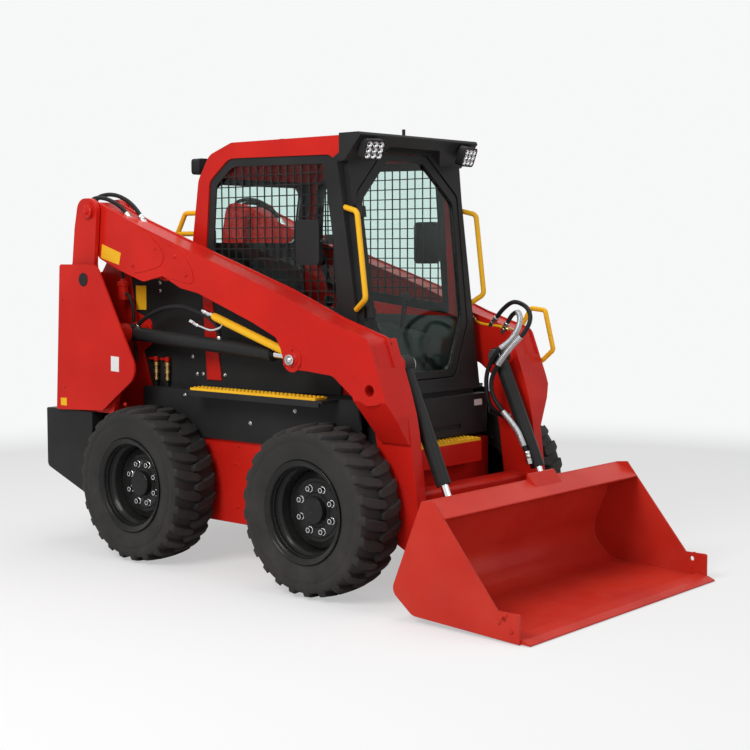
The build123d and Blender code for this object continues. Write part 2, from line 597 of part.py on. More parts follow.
tilt_pin = rod_x(tilt_top_y, tilt_top_z, 20, 320, tilt_x + 36)
tilt_head = rod_x(tilt_top_y, tilt_top_z, 34, 315, 324)
lift_cap = rod_x(lift_pin_y, lift_pin_z, 24, arm_outer_x, arm_outer_x + 14)
lift_cap_in = rod_x(lift_pin_y, lift_pin_z, 24, arm_inner_x - 8, arm_inner_x)
left_arm = arm
save("arm_left", left_arm)
save("arm_right", mirror(left_arm, about=Plane.YZ))
save("leg_left", leg)
save("leg_right", mirror(leg, about=Plane.YZ))
save("arm_pins", *both(tilt_pin + tilt_head), *both(lift_cap), *both(lift_cap_in))

cross_tube = block((-leg_inner_x, leg_inner_x), (-385, -275), (345, 475))
cross_tube = fillet(cross_tube.edges().filter_by(Axis.X), 22)
save("cross_tube", cross_tube)

# arm lock: a channel that drops over the rod, stowed under the right arm
lock_x = lift_x + 61
lock = bar((-lock_x, 750, 1231), (-lock_x, 303, 1078), 20)
lock += block((-lock_x - 5, -lock_x + 5), (712, 742), (1231, 1340))
lock += block((-lock_x - 5, -lock_x + 5), (318, 344), (1090, 1200))
save("arm_lock", lock - mirror(left_arm, about=Plane.YZ))
handle_x = arm_outer_x + 16
arm_handle = tube_path([(arm_outer_x, -190, 1150), (handle_x + 8, -205, 1185), (handle_x + 8, -250, 1258),
                        (handle_x + 8, -335, 1250), (handle_x + 8, -385, 1056), (handle_x + 8, -320, 1000),
                        (arm_outer_x, -290, 1000)], 12, 18)
save("arm_handle", arm_handle - left_arm)

# ---------------------------------------------------------------- lift cylinders
lift_dir = Vector(0, lift_pin_y - lift_base_y, lift_pin_z - lift_base_z)
lift_length = lift_dir.length
lift_unit = lift_dir.normalized()


def along(base, unit, distance, x):
    """Point at a distance from a pivot along a cylinder's line."""
    return (x, base[0] + unit.Y * distance, base[1] + unit.Z * distance)


lift_base = (lift_base_y, lift_base_z)
lift_gland = lift_length - 205      # end of the barrel
barrel = bar(along(lift_base, lift_unit, 64, lift_x), along(lift_base, lift_unit, lift_gland, lift_x),
             lift_barrel_r)
barrel += bar(along(lift_base, lift_unit, 20, lift_x), along(lift_base, lift_unit, 64, lift_x), 26)
barrel += rod_x(lift_base_y, lift_base_z, 46, lift_x - 28, lift_x + 28)
barrel += bar(along(lift_base, lift_unit, lift_gland - 40, lift_x),
              along(lift_base, lift_unit, lift_gland, lift_x), lift_barrel_r + 2)
barrel -= rod_x(lift_base_y, lift_base_z, 22 + pin_gap, lift_x - 40, lift_x + 40)
barrel -= bar(along(lift_base, lift_unit, 120, lift_x),
              along(lift_base, lift_unit, lift_gland + 5, lift_x), lift_rod_r + pin_gap)
for side, piece in zip(("left", "right"), both(barrel)):
    save(f"lift_barrel_{side}", piece)
lift_rod = bar(along(lift_base, lift_unit, 150, lift_x),
               along(lift_base, lift_unit, lift_length - 25, lift_x), lift_rod_r)
lift_rod += rod_x(lift_pin_y, lift_pin_z, 36, lift_x - 28, lift_x + 28)
lift_rod += rod_x(lift_pin_y, lift_pin_z, 22, arm_inner_x + arm_wall + 6, arm_outer_x - arm_wall - 6)
for side, piece in zip(("left", "right"), both(lift_rod)):
    save(f"lift_rod_{side}", piece)

# ---------------------------------------------------------------- tilt cylinders
tilt_dir = Vector(0, tilt_eye_y - tilt_top_y, tilt_eye_z - tilt_top_z)
tilt_length = tilt_dir.length
tilt_unit = tilt_dir.normalized()
tilt_top = (tilt_top_y, tilt_top_z)
tilt_gland = tilt_length - 130
tilt_barrel = bar(along(tilt_top, tilt_unit, 30, tilt_x), along(tilt_top, tilt_unit, tilt_gland, tilt_x),
                  tilt_barrel_r)
tilt_barrel += rod_x(tilt_top_y, tilt_top_z, 40, tilt_x - 34, tilt_x + 34)
tilt_barrel -= rod_x(tilt_top_y, tilt_top_z, 20 + pin_gap, tilt_x - 40, tilt_x + 40)
tilt_barrel -= bar(along(tilt_top, tilt_unit, 90, tilt_x), along(tilt_top, tilt_unit, tilt_gland + 5, tilt_x),
                   tilt_rod_r + pin_gap)
for side, piece in zip(("left", "right"), both(tilt_barrel)):
    save(f"tilt_barrel_{side}", piece)
rod_eye_r = 30
tilt_rod = bar(along(tilt_top, tilt_unit, 150, tilt_x),
               along(tilt_top, tilt_unit, tilt_length - 15, tilt_x), tilt_rod_r)
tilt_rod += rod_x(tilt_eye_y, tilt_eye_z, rod_eye_r, tilt_x - 20, tilt_x + 20)
tilt_rod += rod_x(tilt_eye_y, tilt_eye_z, 18, tilt_x - 24, tilt_x + 24)
for side, piece in zip(("left", "right"), both(tilt_rod)):
    save(f"tilt_rod_{side}", piece)

# ---------------------------------------------------------------- bucket and its carrier
back_top = (-684, 517)
heel = (-521, 122)
back_unit = Vector(0, heel[0] - back_top[0], heel[1] - back_top[1]).normalized()
back_normal = Vector(0, -back_unit.Z, back_unit.Y)      # points rearward, out of the bucket


def back_point(down, out):
    """Side-view point a distance down the bucket's back and out from it."""
    return (back_top[0] + back_unit.Y * down + back_normal.Y * out,
            back_top[1] + back_unit.Z * down + back_normal.Z * out)


floor_back = (-634, 32)
lip = (-front_overhang, 3)
shell_outer = [(back_top[0], back_top[1], 0), (heel[0], heel[1], 45), (floor_back[0], floor_back[1], 60),
               (lip[0], lip[1], 0)]
inner_back = back_point(0, -bucket_wall)
inner_heel = back_point(400, -bucket_wall)
edge_back = (lip[0] + 100, lip[1] + 100 * (floor_back[1] - lip[1]) / (floor_back[0] - lip[0]))
shell_rows = shell_outer[:3] + [
    (edge_back[0], edge_back[1], 0), (edge_back[0], edge_back[1] + bucket_wall, 0),
    (-660, 30 + bucket_wall, 110), (inner_heel[0] - 6, inner_heel[1] + 12, 110),
    (inner_back[0], inner_back[1], 0)]
edge_rows = [  # y, z, corner radius
    (lip[0], lip[1], 0), (edge_back[0], edge_back[1], 0), (edge_back[0], edge_back[1] + edge_thick, 2),
    (lip[0] + 34, lip[1] + edge_thick, 0), (lip[0], lip[1] + 6, 0)]
save("cutting_edge", slab(edge_rows, -bucket_half + bucket_side_wall, bucket_half - bucket_side_wall))
shell = slab(shell_rows, -bucket_half + bucket_side_wall, bucket_half - bucket_side_wall)
side_plate_rows = [  # y, z, corner radius
    (-684, 517, 0), (-744, 523, 6), (-1070, 123, 0), (-1180, 123, 10), (-front_overhang + 45, 3, 0),
    (-634, 32, 60), (-521, 122, 45)]
side_plate = slab(side_plate_rows, bucket_half - bucket_side_wall, bucket_half)
side_plate -= rod_x(-1104, 94, 11, bucket_half - 20, bucket_half + 5)
beam_rows = [(-684, 517, 0), (-810, 457, 4), (-640, 400, 0)]
beam = slab(beam_rows, -bucket_half + bucket_side_wall, bucket_half - bucket_side_wall)
bucket = shell + side_plate + mirror(side_plate, about=Plane.YZ) + beam
save("bucket_shell", bucket)

carrier_wall = 16
plate_low, plate_high = 380, 60     # distances down the back
carrier_rows = [(*back_point(plate_high, 0.0), 0), (*back_point(plate_high, carrier_wall), 0),
                (*back_point(plate_low, carrier_wall), 0), (*back_point(plate_low, 0.0), 0)]
carrier = slab(carrier_rows, -520, 520)
carrier -= slab([(*back_point(150, -5), 0), (*back_point(150, 30), 0), (*back_point(330, 30), 0),
                 (*back_point(330, -5), 0)], -300, 300)
for sign in (-1, 1):
    x0, x1 = sorted((sign * (tilt_x - 26), sign * (tilt_x + 26)))
    carrier -= slab([(*back_point(50, -5), 0), (*back_point(50, 30), 0), (*back_point(230, 30), 0),
                     (*back_point(230, -5), 0)], x0, x1)
tilt_ear_rows = [(*back_point(70, carrier_wall - 1), 0),
                 (tilt_eye_y - 10, tilt_eye_z + 38, 20), (tilt_eye_y + 36, tilt_eye_z + 20, 30),
                 (tilt_eye_y + 30, tilt_eye_z - 30, 30), (*back_point(250, carrier_wall - 1), 0)]
pin_ear_rows = [(*back_point(270, carrier_wall - 1), 0), (bucket_pin_y + 20, bucket_pin_z + 50, 30),
                (bucket_pin_y + 48, bucket_pin_z, 40), (bucket_pin_y + 5, bucket_pin_z - 52, 30),
                (*back_point(plate_low, carrier_wall - 1), 0)]
ears = []
for x in (tilt_x - 40, tilt_x + 28):
    ears.append(slab(tilt_ear_rows, x, x + 12))
for x0, x1 in ((leg_inner_x - 22, leg_inner_x - 6), (leg_outer_x + 6, leg_outer_x + 20)):
    ears.append(slab(pin_ear_rows, x0, x1))
pin_bar = rod_x(bucket_pin_y, bucket_pin_z, bucket_pin_r, leg_inner_x - 22, leg_outer_x + 20)
for piece in ears + [pin_bar]:
    carrier += piece
    carrier += mirror(piece, about=Plane.YZ)
save("bucket_carrier", carrier)
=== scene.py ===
import json
import math
import bmesh
import bpy
import numpy as np
from mathutils import Matrix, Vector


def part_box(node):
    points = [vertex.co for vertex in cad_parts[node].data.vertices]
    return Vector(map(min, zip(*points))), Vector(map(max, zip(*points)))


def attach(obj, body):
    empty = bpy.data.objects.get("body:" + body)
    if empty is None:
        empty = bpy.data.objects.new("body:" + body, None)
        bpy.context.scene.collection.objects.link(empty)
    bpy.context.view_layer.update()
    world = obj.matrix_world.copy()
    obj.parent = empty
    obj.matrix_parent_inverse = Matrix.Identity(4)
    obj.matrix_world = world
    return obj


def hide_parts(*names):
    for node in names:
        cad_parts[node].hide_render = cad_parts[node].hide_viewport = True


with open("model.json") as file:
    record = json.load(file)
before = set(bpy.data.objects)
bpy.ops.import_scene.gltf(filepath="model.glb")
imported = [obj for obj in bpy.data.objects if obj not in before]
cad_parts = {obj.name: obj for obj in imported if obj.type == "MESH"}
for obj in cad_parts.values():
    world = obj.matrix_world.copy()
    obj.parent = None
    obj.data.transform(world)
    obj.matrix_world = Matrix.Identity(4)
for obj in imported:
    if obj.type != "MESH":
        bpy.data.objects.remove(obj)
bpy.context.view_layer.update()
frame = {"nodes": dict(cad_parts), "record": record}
scene = bpy.context.scene
scene.view_settings.view_transform = "Standard"

sides = {"left": 1, "right": -1}
tyreLow, tyreHigh = (np.array(corner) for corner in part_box("tyre_front_left"))
frontAxle = (tyreLow + tyreHigh) / 2
rearAxleY = np.mean([corner[1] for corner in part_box("tyre_rear_left")])


def atBehind(points):
    # points given as (x, how far behind the front axle, z), in metres
    return np.asarray(points, float) + [0, frontAxle[1], 0]


# camera: long lens, a little above the bonnet, ahead of the right front corner
camera = {
    "place": (-5.295, -4.783, 1.533),
    "heading": -48.82,      # degrees about Z, 0 looks along +Y
    "dip": 4.81,            # degrees below the horizon
    "roll": -0.21,
    "lens": 69.38,
    "sensor": 36.0,
}


def addCamera(c):
    data = bpy.data.cameras.new("camera")
    data.lens, data.sensor_width = c["lens"], c["sensor"]
    cameraObject = bpy.data.objects.new("camera", data)
    scene.collection.objects.link(cameraObject)
    turn = (Matrix.Rotation(math.radians(c["heading"]), 4, "Z")
            @ Matrix.Rotation(math.radians(90 - c["dip"]), 4, "X")
            @ Matrix.Rotation(math.radians(c["roll"]), 4, "Z"))
    cameraObject.matrix_world = Matrix.Translation(c["place"]) @ turn
    scene.camera = cameraObject


addCamera(camera)

# light: one soft high lamp from the right front, two large fills, and a white room
studio = {
    "backdrop": (0.93, 0.935, 0.935, 1.0),
    "roomLight": 0.42,
    "floor": 0.80,
    "floorHalf": 40.0,
    "floorGlow": 0.5,           # share of the backdrop's tone that the camera sees in the floor by the machine
    "floorFade": (2.6, 7.0),    # metres from the machine where the floor turns into backdrop
    "lamps": [  # name, place, aimed at, size, power in watts
        ("key", (-5.6, -0.6, 4.8), (0, 0, 0.8), 3.2, 270),
        ("front", (-0.8, -6.4, 3.0), (0, -0.5, 0.6), 2.6, 62),
        ("top", (0.6, 0.4, 6.5), (0, 0, 0.8), 4.0, 150),
    ],
}


def nodeIn(tree, kind, settings=None, values=None, **plugs):
    # adds a shader node; a plug is a number, a colour or another node's socket
    made = tree.nodes.new(kind)
    for name, value in (settings or {}).items():
        setattr(made, name, value)
    pairs = [(made.inputs[name.replace("_", " ")], value) for name, value in plugs.items()]
    pairs += [(made.inputs[i], value) for i, value in enumerate(values or []) if value is not None]
    for socket, value in pairs:
        if isinstance(value, bpy.types.NodeSocket):
            tree.links.new(value, socket)
        else:
            socket.default_value = value
    return made


def addStudio(s):
    world = bpy.data.worlds.new("room")
    scene.world = world
    world.use_nodes = True
    tree = world.node_tree
    tree.nodes.clear()
    rays = nodeIn(tree, "ShaderNodeLightPath")
    seen = nodeIn(tree, "ShaderNodeMath", {"operation": "ADD", "use_clamp": True},
                  [rays.outputs["Is Camera Ray"], rays.outputs["Is Glossy Ray"]])
    seen = nodeIn(tree, "ShaderNodeMath", {"operation": "ADD", "use_clamp": True},
                  [seen.outputs[0], rays.outputs["Is Transmission Ray"]])
    lit = nodeIn(tree, "ShaderNodeBackground", Strength=s["roomLight"], Color=(1, 1, 1, 1))
    shown = nodeIn(tree, "ShaderNodeBackground", Strength=1.0, Color=s["backdrop"])
    mixed = nodeIn(tree, "ShaderNodeMixShader", values=[seen.outputs[0], lit.outputs[0], shown.outputs[0]])
    out = nodeIn(tree, "ShaderNodeOutputWorld")
    tree.links.new(mixed.outputs[0], out.inputs["Surface"])
    for name, place, aim, size, power in s["lamps"]:
        data = bpy.data.lights.new(name, "AREA")
        data.shape, data.size, data.energy = "DISK", size, power
        lamp = bpy.data.objects.new(name, data)
        scene.collection.objects.link(lamp)
        away = Matrix.Translation(place).to_translation() - Matrix.Translation(aim).to_translation()
        lamp.location = place
        lamp.rotation_euler = away.to_track_quat("Z", "Y").to_euler()
    half = s["floorHalf"]
    ground = bpy.data.meshes.new("floor")
    corners = [(-half, -half, 0), (half, -half, 0), (half, half, 0), (-half, half, 0)]
    ground.from_pydata(corners, [], [(0, 1, 2, 3)])
    floor = bpy.data.objects.new("floor", ground)
    scene.collection.objects.link(floor)
    material = bpy.data.materials.new("floor_white")
    material.use_nodes = True
    tree = material.node_tree
    tree.nodes.clear()
    place = nodeIn(tree, "ShaderNodeTexCoord")
    reach = nodeIn(tree, "ShaderNodeVectorMath", {"operation": "LENGTH"}, [place.outputs["Object"]])
    fade = nodeIn(tree, "ShaderNodeMapRange", {"interpolation_type": "SMOOTHERSTEP"},
                  Value=reach.outputs["Value"], From_Min=s["floorFade"][0], From_Max=s["floorFade"][1])
    rays = nodeIn(tree, "ShaderNodeLightPath")
    share = nodeIn(tree, "ShaderNodeMath", {"operation": "MAXIMUM"}, [fade.outputs["Result"], s["floorGlow"]])
    seen = nodeIn(tree, "ShaderNodeMath", {"operation": "MULTIPLY"},
                  [rays.outputs["Is Camera Ray"], share.outputs[0]])
    tone = s["floor"]
    matt = nodeIn(tree, "ShaderNodeBsdfDiffuse", Color=(tone, tone, tone, 1))
    glow = nodeIn(tree, "ShaderNodeEmission", Color=s["backdrop"], Strength=1.0)
    mixed = nodeIn(tree, "ShaderNodeMixShader", values=[seen.outputs[0], matt.outputs[0], glow.outputs[0]])
    out = nodeIn(tree, "ShaderNodeOutputMaterial")
    tree.links.new(mixed.outputs[0], out.inputs["Surface"])
    ground.materials.append(material)


addStudio(studio)
print("camera, lamps and floor set")


# shader groups that several finishes share
def newGroup(name, inputs, outputs):
    tree = bpy.data.node_groups.new(name, "ShaderNodeTree")
    for label, value in inputs.items():
        kind = "NodeSocketColor" if isinstance(value, tuple) else "NodeSocketFloat"
        socket = tree.interface.new_socket(label, in_out="INPUT", socket_type=kind)
        socket.default_value = value
    for label, kind in outputs.items():
        tree.interface.new_socket(label, in_out="OUTPUT", socket_type="NodeSocket" + kind)
    return tree, nodeIn(tree, "NodeGroupInput").outputs, nodeIn(tree, "NodeGroupOutput").inputs


def makeEdges():
    # edge mask for the painted edge highlight: one minus the dot of the rounded normal and the true one, broken up by
    # noise
    tree, given, result = newGroup("soft edges", {"Radius": 0.003, "Patch Scale": 18.0},
                                   {"Mask": "Float", "Normal": "Vector"})
    rounded = nodeIn(tree, "ShaderNodeBevel", {"samples": 4}, Radius=given["Radius"])
    shape = nodeIn(tree, "ShaderNodeNewGeometry")
    facing = nodeIn(tree, "ShaderNodeVectorMath", {"operation": "DOT_PRODUCT"},
                    [rounded.outputs["Normal"], shape.outputs["Normal"]])
    edge = nodeIn(tree, "ShaderNodeMapRange", Value=facing.outputs["Value"], From_Min=0.995, From_Max=0.72)
    place = nodeIn(tree, "ShaderNodeTexCoord")
    noise = nodeIn(tree, "ShaderNodeTexNoise", Vector=place.outputs["Object"], Scale=given["Patch Scale"], Detail=4.0)
    patch = nodeIn(tree, "ShaderNodeMapRange", Value=noise.outputs["Fac"], From_Min=0.42, From_Max=0.62)
    mask = nodeIn(tree, "ShaderNodeMath", {"operation": "MULTIPLY"}, [edge.outputs[0], patch.outputs[0]])
    tree.links.new(mask.outputs[0], result["Mask"])
    tree.links.new(rounded.outputs["Normal"], result["Normal"])
    return tree


def makeGrain():
    # grain: fine noise for height, and a slow noise that shifts tone from place to place
    tree, given, result = newGroup("fine grain", {"Grain Scale": 400.0, "Tone Scale": 2.5},
                                   {"Height": "Float", "Tone": "Float"})
    place = nodeIn(tree, "ShaderNodeTexCoord")
    fine = nodeIn(tree, "ShaderNodeTexNoise", Vector=place.outputs["Object"], Scale=given["Grain Scale"], Detail=3.0)
    slow = nodeIn(tree, "ShaderNodeTexNoise", Vector=place.outputs["Object"], Scale=given["Tone Scale"], Detail=5.0)
    tree.links.new(fine.outputs["Fac"], result["Height"])
    tree.links.new(slow.outputs["Fac"], result["Tone"])
    return tree


def makeDust():
    # dust: more where the surface looks up and near the ground, gathered in patches
    tree, given, result = newGroup("light dust", {"Amount": 0.2, "Reach": 0.9}, {"Mask": "Float"})
    shape = nodeIn(tree, "ShaderNodeNewGeometry")
    up = nodeIn(tree, "ShaderNodeSeparateXYZ", values=[shape.outputs["Normal"]])
    place = nodeIn(tree, "ShaderNodeTexCoord")
    spot = nodeIn(tree, "ShaderNodeSeparateXYZ", values=[place.outputs["Object"]])
    low = nodeIn(tree, "ShaderNodeMapRange", Value=spot.outputs["Z"], From_Min=given["Reach"], From_Max=0.0)
    lying = nodeIn(tree, "ShaderNodeMapRange", Value=up.outputs["Z"], From_Min=0.2, From_Max=1.0)
    both = nodeIn(tree, "ShaderNodeMath", {"operation": "MAXIMUM"}, [low.outputs[0], lying.outputs[0]])
    noise = nodeIn(tree, "ShaderNodeTexNoise", Vector=place.outputs["Object"], Scale=9.0, Detail=8.0, Roughness=0.65)
    patch = nodeIn(tree, "ShaderNodeMapRange", Value=noise.outputs["Fac"], From_Min=0.35, From_Max=0.75)
    spread = nodeIn(tree, "ShaderNodeMath", {"operation": "MULTIPLY"}, [both.outputs[0], patch.outputs[0]])
    mask = nodeIn(tree, "ShaderNodeMath", {"operation": "MULTIPLY"}, [spread.outputs[0], given["Amount"]])
    tree.links.new(mask.outputs[0], result["Mask"])
    return tree


softEdges, fineGrain, lightDust = makeEdges(), makeGrain(), makeDust()

# finishes: two tones that drift into each other, gloss range, grain, a painted highlight on edges, and dust
def grey(level):
    return (level, level, level)


plainFinish = dict(coat=0.0, coatRough=0.3, dust=0.0, metal=0.0)    # what a finish has unless it says otherwise
# the lighter edge colour in each finish, and its share, are a painted highlight on the edges
finishes = {
    "redPaint": dict(tone=(0.56, 0.014, 0.007), second=(0.48, 0.01, 0.006), edgeHighlight=(0.66, 0.05, 0.03),
                     rough=(0.3, 0.4), coat=0.0875, coatRough=0.12, grain=260, bump=0.02, edge=0.004, edgeHighlightShare=0.35,
                     dust=0.03),
    "bucketPaint": dict(tone=(0.54, 0.028, 0.014), second=(0.46, 0.018, 0.01), edgeHighlight=(0.62, 0.07, 0.04),
                        rough=(0.34, 0.46), coat=0.0625, coatRough=0.2, grain=200, bump=0.03, edge=0.004, edgeHighlightShare=0.45,
                        dust=0.05),
    "blackPaint": dict(tone=grey(0.016), second=grey(0.024), edgeHighlight=grey(0.08), rough=(0.38, 0.5), coat=0.025,
                       grain=700, bump=0.05, edge=0.003, edgeHighlightShare=0.4, dust=0.02),
    "rimBlack": dict(tone=grey(0.01), second=grey(0.015), edgeHighlight=grey(0.05), rough=(0.2, 0.3), coat=0.075,
                     coatRough=0.08, grain=300, bump=0.02, edge=0.003, edgeHighlightShare=0.2, dust=0.04),
    "yellowPaint": dict(tone=(0.84, 0.46, 0.018), second=(0.78, 0.4, 0.014), edgeHighlight=(0.9, 0.6, 0.12),
                        rough=(0.32, 0.42), coat=0.075, coatRough=0.15, grain=300, bump=0.02, edge=0.003, edgeHighlightShare=0.3,
                        dust=0.03),
    "blackPlastic": dict(tone=(0.014, 0.014, 0.015), second=(0.022, 0.022, 0.023), edgeHighlight=grey(0.05),
                         rough=(0.42, 0.56), grain=900, bump=0.1, edge=0.002, edgeHighlightShare=0.2, dust=0.02),
    "greyPlastic": dict(tone=(0.052, 0.068, 0.066), second=(0.066, 0.082, 0.08), edgeHighlight=(0.1, 0.12, 0.12),
                        rough=(0.45, 0.6), grain=800, bump=0.12, edge=0.003, edgeHighlightShare=0.2, dust=0.02),
    "castGrey": dict(tone=grey(0.1), second=grey(0.14), edgeHighlight=grey(0.25), rough=(0.5, 0.7), grain=160, bump=0.3,
                     edge=0.004, edgeHighlightShare=0.5, dust=0.2),
    "vinyl": dict(tone=(0.02, 0.02, 0.022), second=(0.028, 0.028, 0.03), edgeHighlight=grey(0.05), rough=(0.42, 0.55),
                  coat=0.0125, grain=600, bump=0.25, edge=0.004, edgeHighlightShare=0.2),
    "rubber": dict(tone=grey(0.021), second=(0.03, 0.029, 0.028), edgeHighlight=(0.045, 0.044, 0.042), rough=(0.5, 0.68),
                   grain=500, bump=0.12, edge=0.003, edgeHighlightShare=0.5, dust=0.1),
    "hoseRubber": dict(tone=(0.014, 0.014, 0.015), second=(0.022, 0.022, 0.023), edgeHighlight=grey(0.05), rough=(0.4, 0.52),
                       grain=900, bump=0.15, edge=0.001, edgeHighlightShare=0.1),
    "steel": dict(tone=(0.52, 0.52, 0.5), second=(0.6, 0.6, 0.58), edgeHighlight=(0.75, 0.75, 0.73), rough=(0.24, 0.36),
                  grain=300, bump=0.05, edge=0.002, edgeHighlightShare=0.3, metal=1.0),
    "chrome": dict(tone=(0.78, 0.78, 0.79), second=(0.72, 0.72, 0.73), edgeHighlight=grey(0.85), rough=(0.07, 0.14),
                   grain=200, bump=0.01, edge=0.001, edgeHighlightShare=0.1, metal=1.0),
    "brass": dict(tone=(0.62, 0.42, 0.16), second=(0.55, 0.36, 0.14), edgeHighlight=(0.8, 0.6, 0.3), rough=(0.25, 0.38),
                  grain=300, bump=0.04, edge=0.001, edgeHighlightShare=0.3, metal=1.0),
    "silverSleeve": dict(tone=(0.5, 0.51, 0.52), second=(0.38, 0.39, 0.4), edgeHighlight=grey(0.7), rough=(0.3, 0.45),
                         grain=350, bump=0.25, edge=0.001, edgeHighlightShare=0.2, metal=0.7),
    "whiteLabel": dict(tone=(0.75, 0.75, 0.74), second=(0.7, 0.7, 0.69), edgeHighlight=grey(0.8), rough=(0.35, 0.45),
                       coat=0.05, coatRough=0.1, grain=500, bump=0.01, edge=0.001, edgeHighlightShare=0.0),
}
paintShine = 0.12               # specular level of every finish
dustTone = (0.30, 0.25, 0.20, 1)


def makeFinish(name, f):
    material = bpy.data.materials.new(name)
    material.use_nodes = True
    tree = material.node_tree
    shader = tree.nodes["Principled BSDF"]
    edges = nodeIn(tree, "ShaderNodeGroup", {"node_tree": softEdges}, Radius=f["edge"])
    grain = nodeIn(tree, "ShaderNodeGroup", {"node_tree": fineGrain}, Grain_Scale=float(f["grain"]))
    dust = nodeIn(tree, "ShaderNodeGroup", {"node_tree": lightDust}, Amount=f["dust"])
    tone = nodeIn(tree, "ShaderNodeMapRange", Value=grain.outputs["Tone"], From_Min=0.35, From_Max=0.65)
    base = nodeIn(tree, "ShaderNodeMix", {"data_type": "RGBA"},
                  [tone.outputs[0], None, None, None, None, None, (*f["tone"], 1), (*f["second"], 1)])
    # painted highlight: edges are mixed towards the lighter edge colour, as if they caught the light
    edgeHighlightShare = nodeIn(tree, "ShaderNodeMath", {"operation": "MULTIPLY"}, [edges.outputs["Mask"], f["edgeHighlightShare"]])
    edgeHighlight = nodeIn(tree, "ShaderNodeMix", {"data_type": "RGBA"},
                  [edgeHighlightShare.outputs[0], None, None, None, None, None, base.outputs["Result"], (*f["edgeHighlight"], 1)])
    dusty = nodeIn(tree, "ShaderNodeMix", {"data_type": "RGBA"},
                   [dust.outputs["Mask"], None, None, None, None, None, edgeHighlight.outputs["Result"], dustTone])
    gloss = nodeIn(tree, "ShaderNodeMapRange", Value=grain.outputs["Tone"], From_Min=0.3, From_Max=0.7,
                   To_Min=f["rough"][0], To_Max=f["rough"][1])
    dull = nodeIn(tree, "ShaderNodeMath", {"operation": "ADD", "use_clamp": True},
                  [gloss.outputs[0], dust.outputs["Mask"]])
    bump = nodeIn(tree, "ShaderNodeBump", Strength=f["bump"], Distance=0.001, Height=grain.outputs["Height"],
                  Normal=edges.outputs["Normal"])
    tree.links.new(dusty.outputs["Result"], shader.inputs["Base Color"])
    tree.links.new(dull.outputs[0], shader.inputs["Roughness"])
    tree.links.new(bump.outputs[0], shader.inputs["Normal"])
    shader.inputs["Metallic"].default_value = f["metal"]
    shader.inputs["Specular IOR Level"].default_value = paintShine
    shader.inputs["Coat Weight"].default_value = f["coat"]
    shader.inputs["Coat Roughness"].default_value = f["coatRough"]
    return material


finish = {name: makeFinish(name, {**plainFinish, **values}) for name, values in finishes.items()}


glassIndex = 1.2                # below real glass, so that the cab's inside shows through the panes


def makeGlass(name, tint, smear):
    # clear tinted safety glass with faint smears in its gloss
    material = bpy.data.materials.new(name)
    material.use_nodes = True
    tree = material.node_tree
    shader = tree.nodes["Principled BSDF"]
    grain = nodeIn(tree, "ShaderNodeGroup", {"node_tree": fineGrain}, Grain_Scale=30.0, Tone_Scale=3.0)
    tone = nodeIn(tree, "ShaderNodeMix", {"data_type": "RGBA"},
                  [grain.outputs["Tone"], None, None, None, None, None, (*tint, 1), (*[c * 0.96 for c in tint], 1)])
    gloss = nodeIn(tree, "ShaderNodeMapRange", Value=grain.outputs["Tone"], To_Min=0.0, To_Max=smear)
    tree.links.new(tone.outputs["Result"], shader.inputs["Base Color"])
    tree.links.new(gloss.outputs[0], shader.inputs["Roughness"])
    shader.inputs["Transmission Weight"].default_value = 1.0
    shader.inputs["IOR"].default_value = glassIndex
    return material


finish["cabGlass"] = makeGlass("cabGlass", (0.80, 0.92, 0.89), 0.03)
finish["lensGlass"] = makeGlass("lensGlass", (0.97, 0.97, 0.97), 0.02)

slotFinish = {"paint_red": "redPaint", "paint_black": "blackPaint", "paint_yellow": "yellowPaint",
              "plastic_black": "blackPlastic", "plastic_grey": "greyPlastic", "cast_grey": "castGrey",
              "glass": "cabGlass", "seat_vinyl": "vinyl", "steel": "steel", "chrome": "chrome", "tyre": "rubber"}
nodeFinish = {"bucket_shell": "bucketPaint", "cutting_edge": "bucketPaint"}
for part in frame["record"]["subparts"]:
    cadObject = frame["nodes"][part["node"]]
    cadObject.data.materials.clear()
    cadObject.data.materials.append(finish[nodeFinish.get(part["node"], slotFinish[part["material_slot"]])])
print("finishes made:", len(finish))

# shapes: grids of points made mesh, one function per kind of surface
def gridFaces(rows, cols, joinRows=False):
    # quads between neighbouring points of a rows by cols grid; a joined direction links its last line to its first
    r = np.arange(rows if joinRows else rows - 1)[:, None]
    c = np.arange(cols)[None, :]
    r2, c2 = (r + 1) % rows, (c + 1) % cols
    quads = np.stack([r * cols + c, r * cols + c2, r2 * cols + c2, r2 * cols + c], -1)
    return quads.reshape(-1, 4).tolist()


def tubeShape(rings):
    # rings is (rows, cols, 3): closed rings joined in a row, with a flat face at each end
    rows, cols = rings.shape[:2]
    faces = gridFaces(rows, cols) + [list(range(cols))[::-1], list(range((rows - 1) * cols, rows * cols))]
    return rings.reshape(-1, 3), faces


def repeated(shape, turns, moves):
    # the same shape once for each 3x3 turn and each move: point = turn times point plus move
    points, faces = shape
    turns, moves = np.asarray(turns, float), np.asarray(moves, float)
    placed = np.einsum("kij,nj->kni", turns, points) + moves[:, None, :]
    count = len(points)
    allFaces = [[i + k * count for i in face] for k in range(len(moves)) for face in faces]
    return placed.reshape(-1, 3), allFaces


def scattered(shape, spots):
    # the same shape, unturned, once at each spot
    return repeated(shape, np.repeat(np.eye(3)[None], len(spots), 0), spots)


def joined(shapes):
    # several shapes as one list of points and faces
    points, faces, start = [], [], 0
    for somePoints, someFaces in shapes:
        points.append(somePoints)
        faces += [[i + start for i in face] for face in someFaces]
        start += len(somePoints)
    return np.concatenate(points), faces


def axes(direction, up=(0, 0, 1)):
    # 3x3 turn whose third column is direction and whose second lies nearest to up
    w = np.array(direction, float) / np.linalg.norm(direction)
    u = np.cross(up, w)
    u = u / np.linalg.norm(u) if np.linalg.norm(u) > 1e-6 else np.array([1.0, 0, 0])
    return np.stack([u, np.cross(w, u), w], 1)


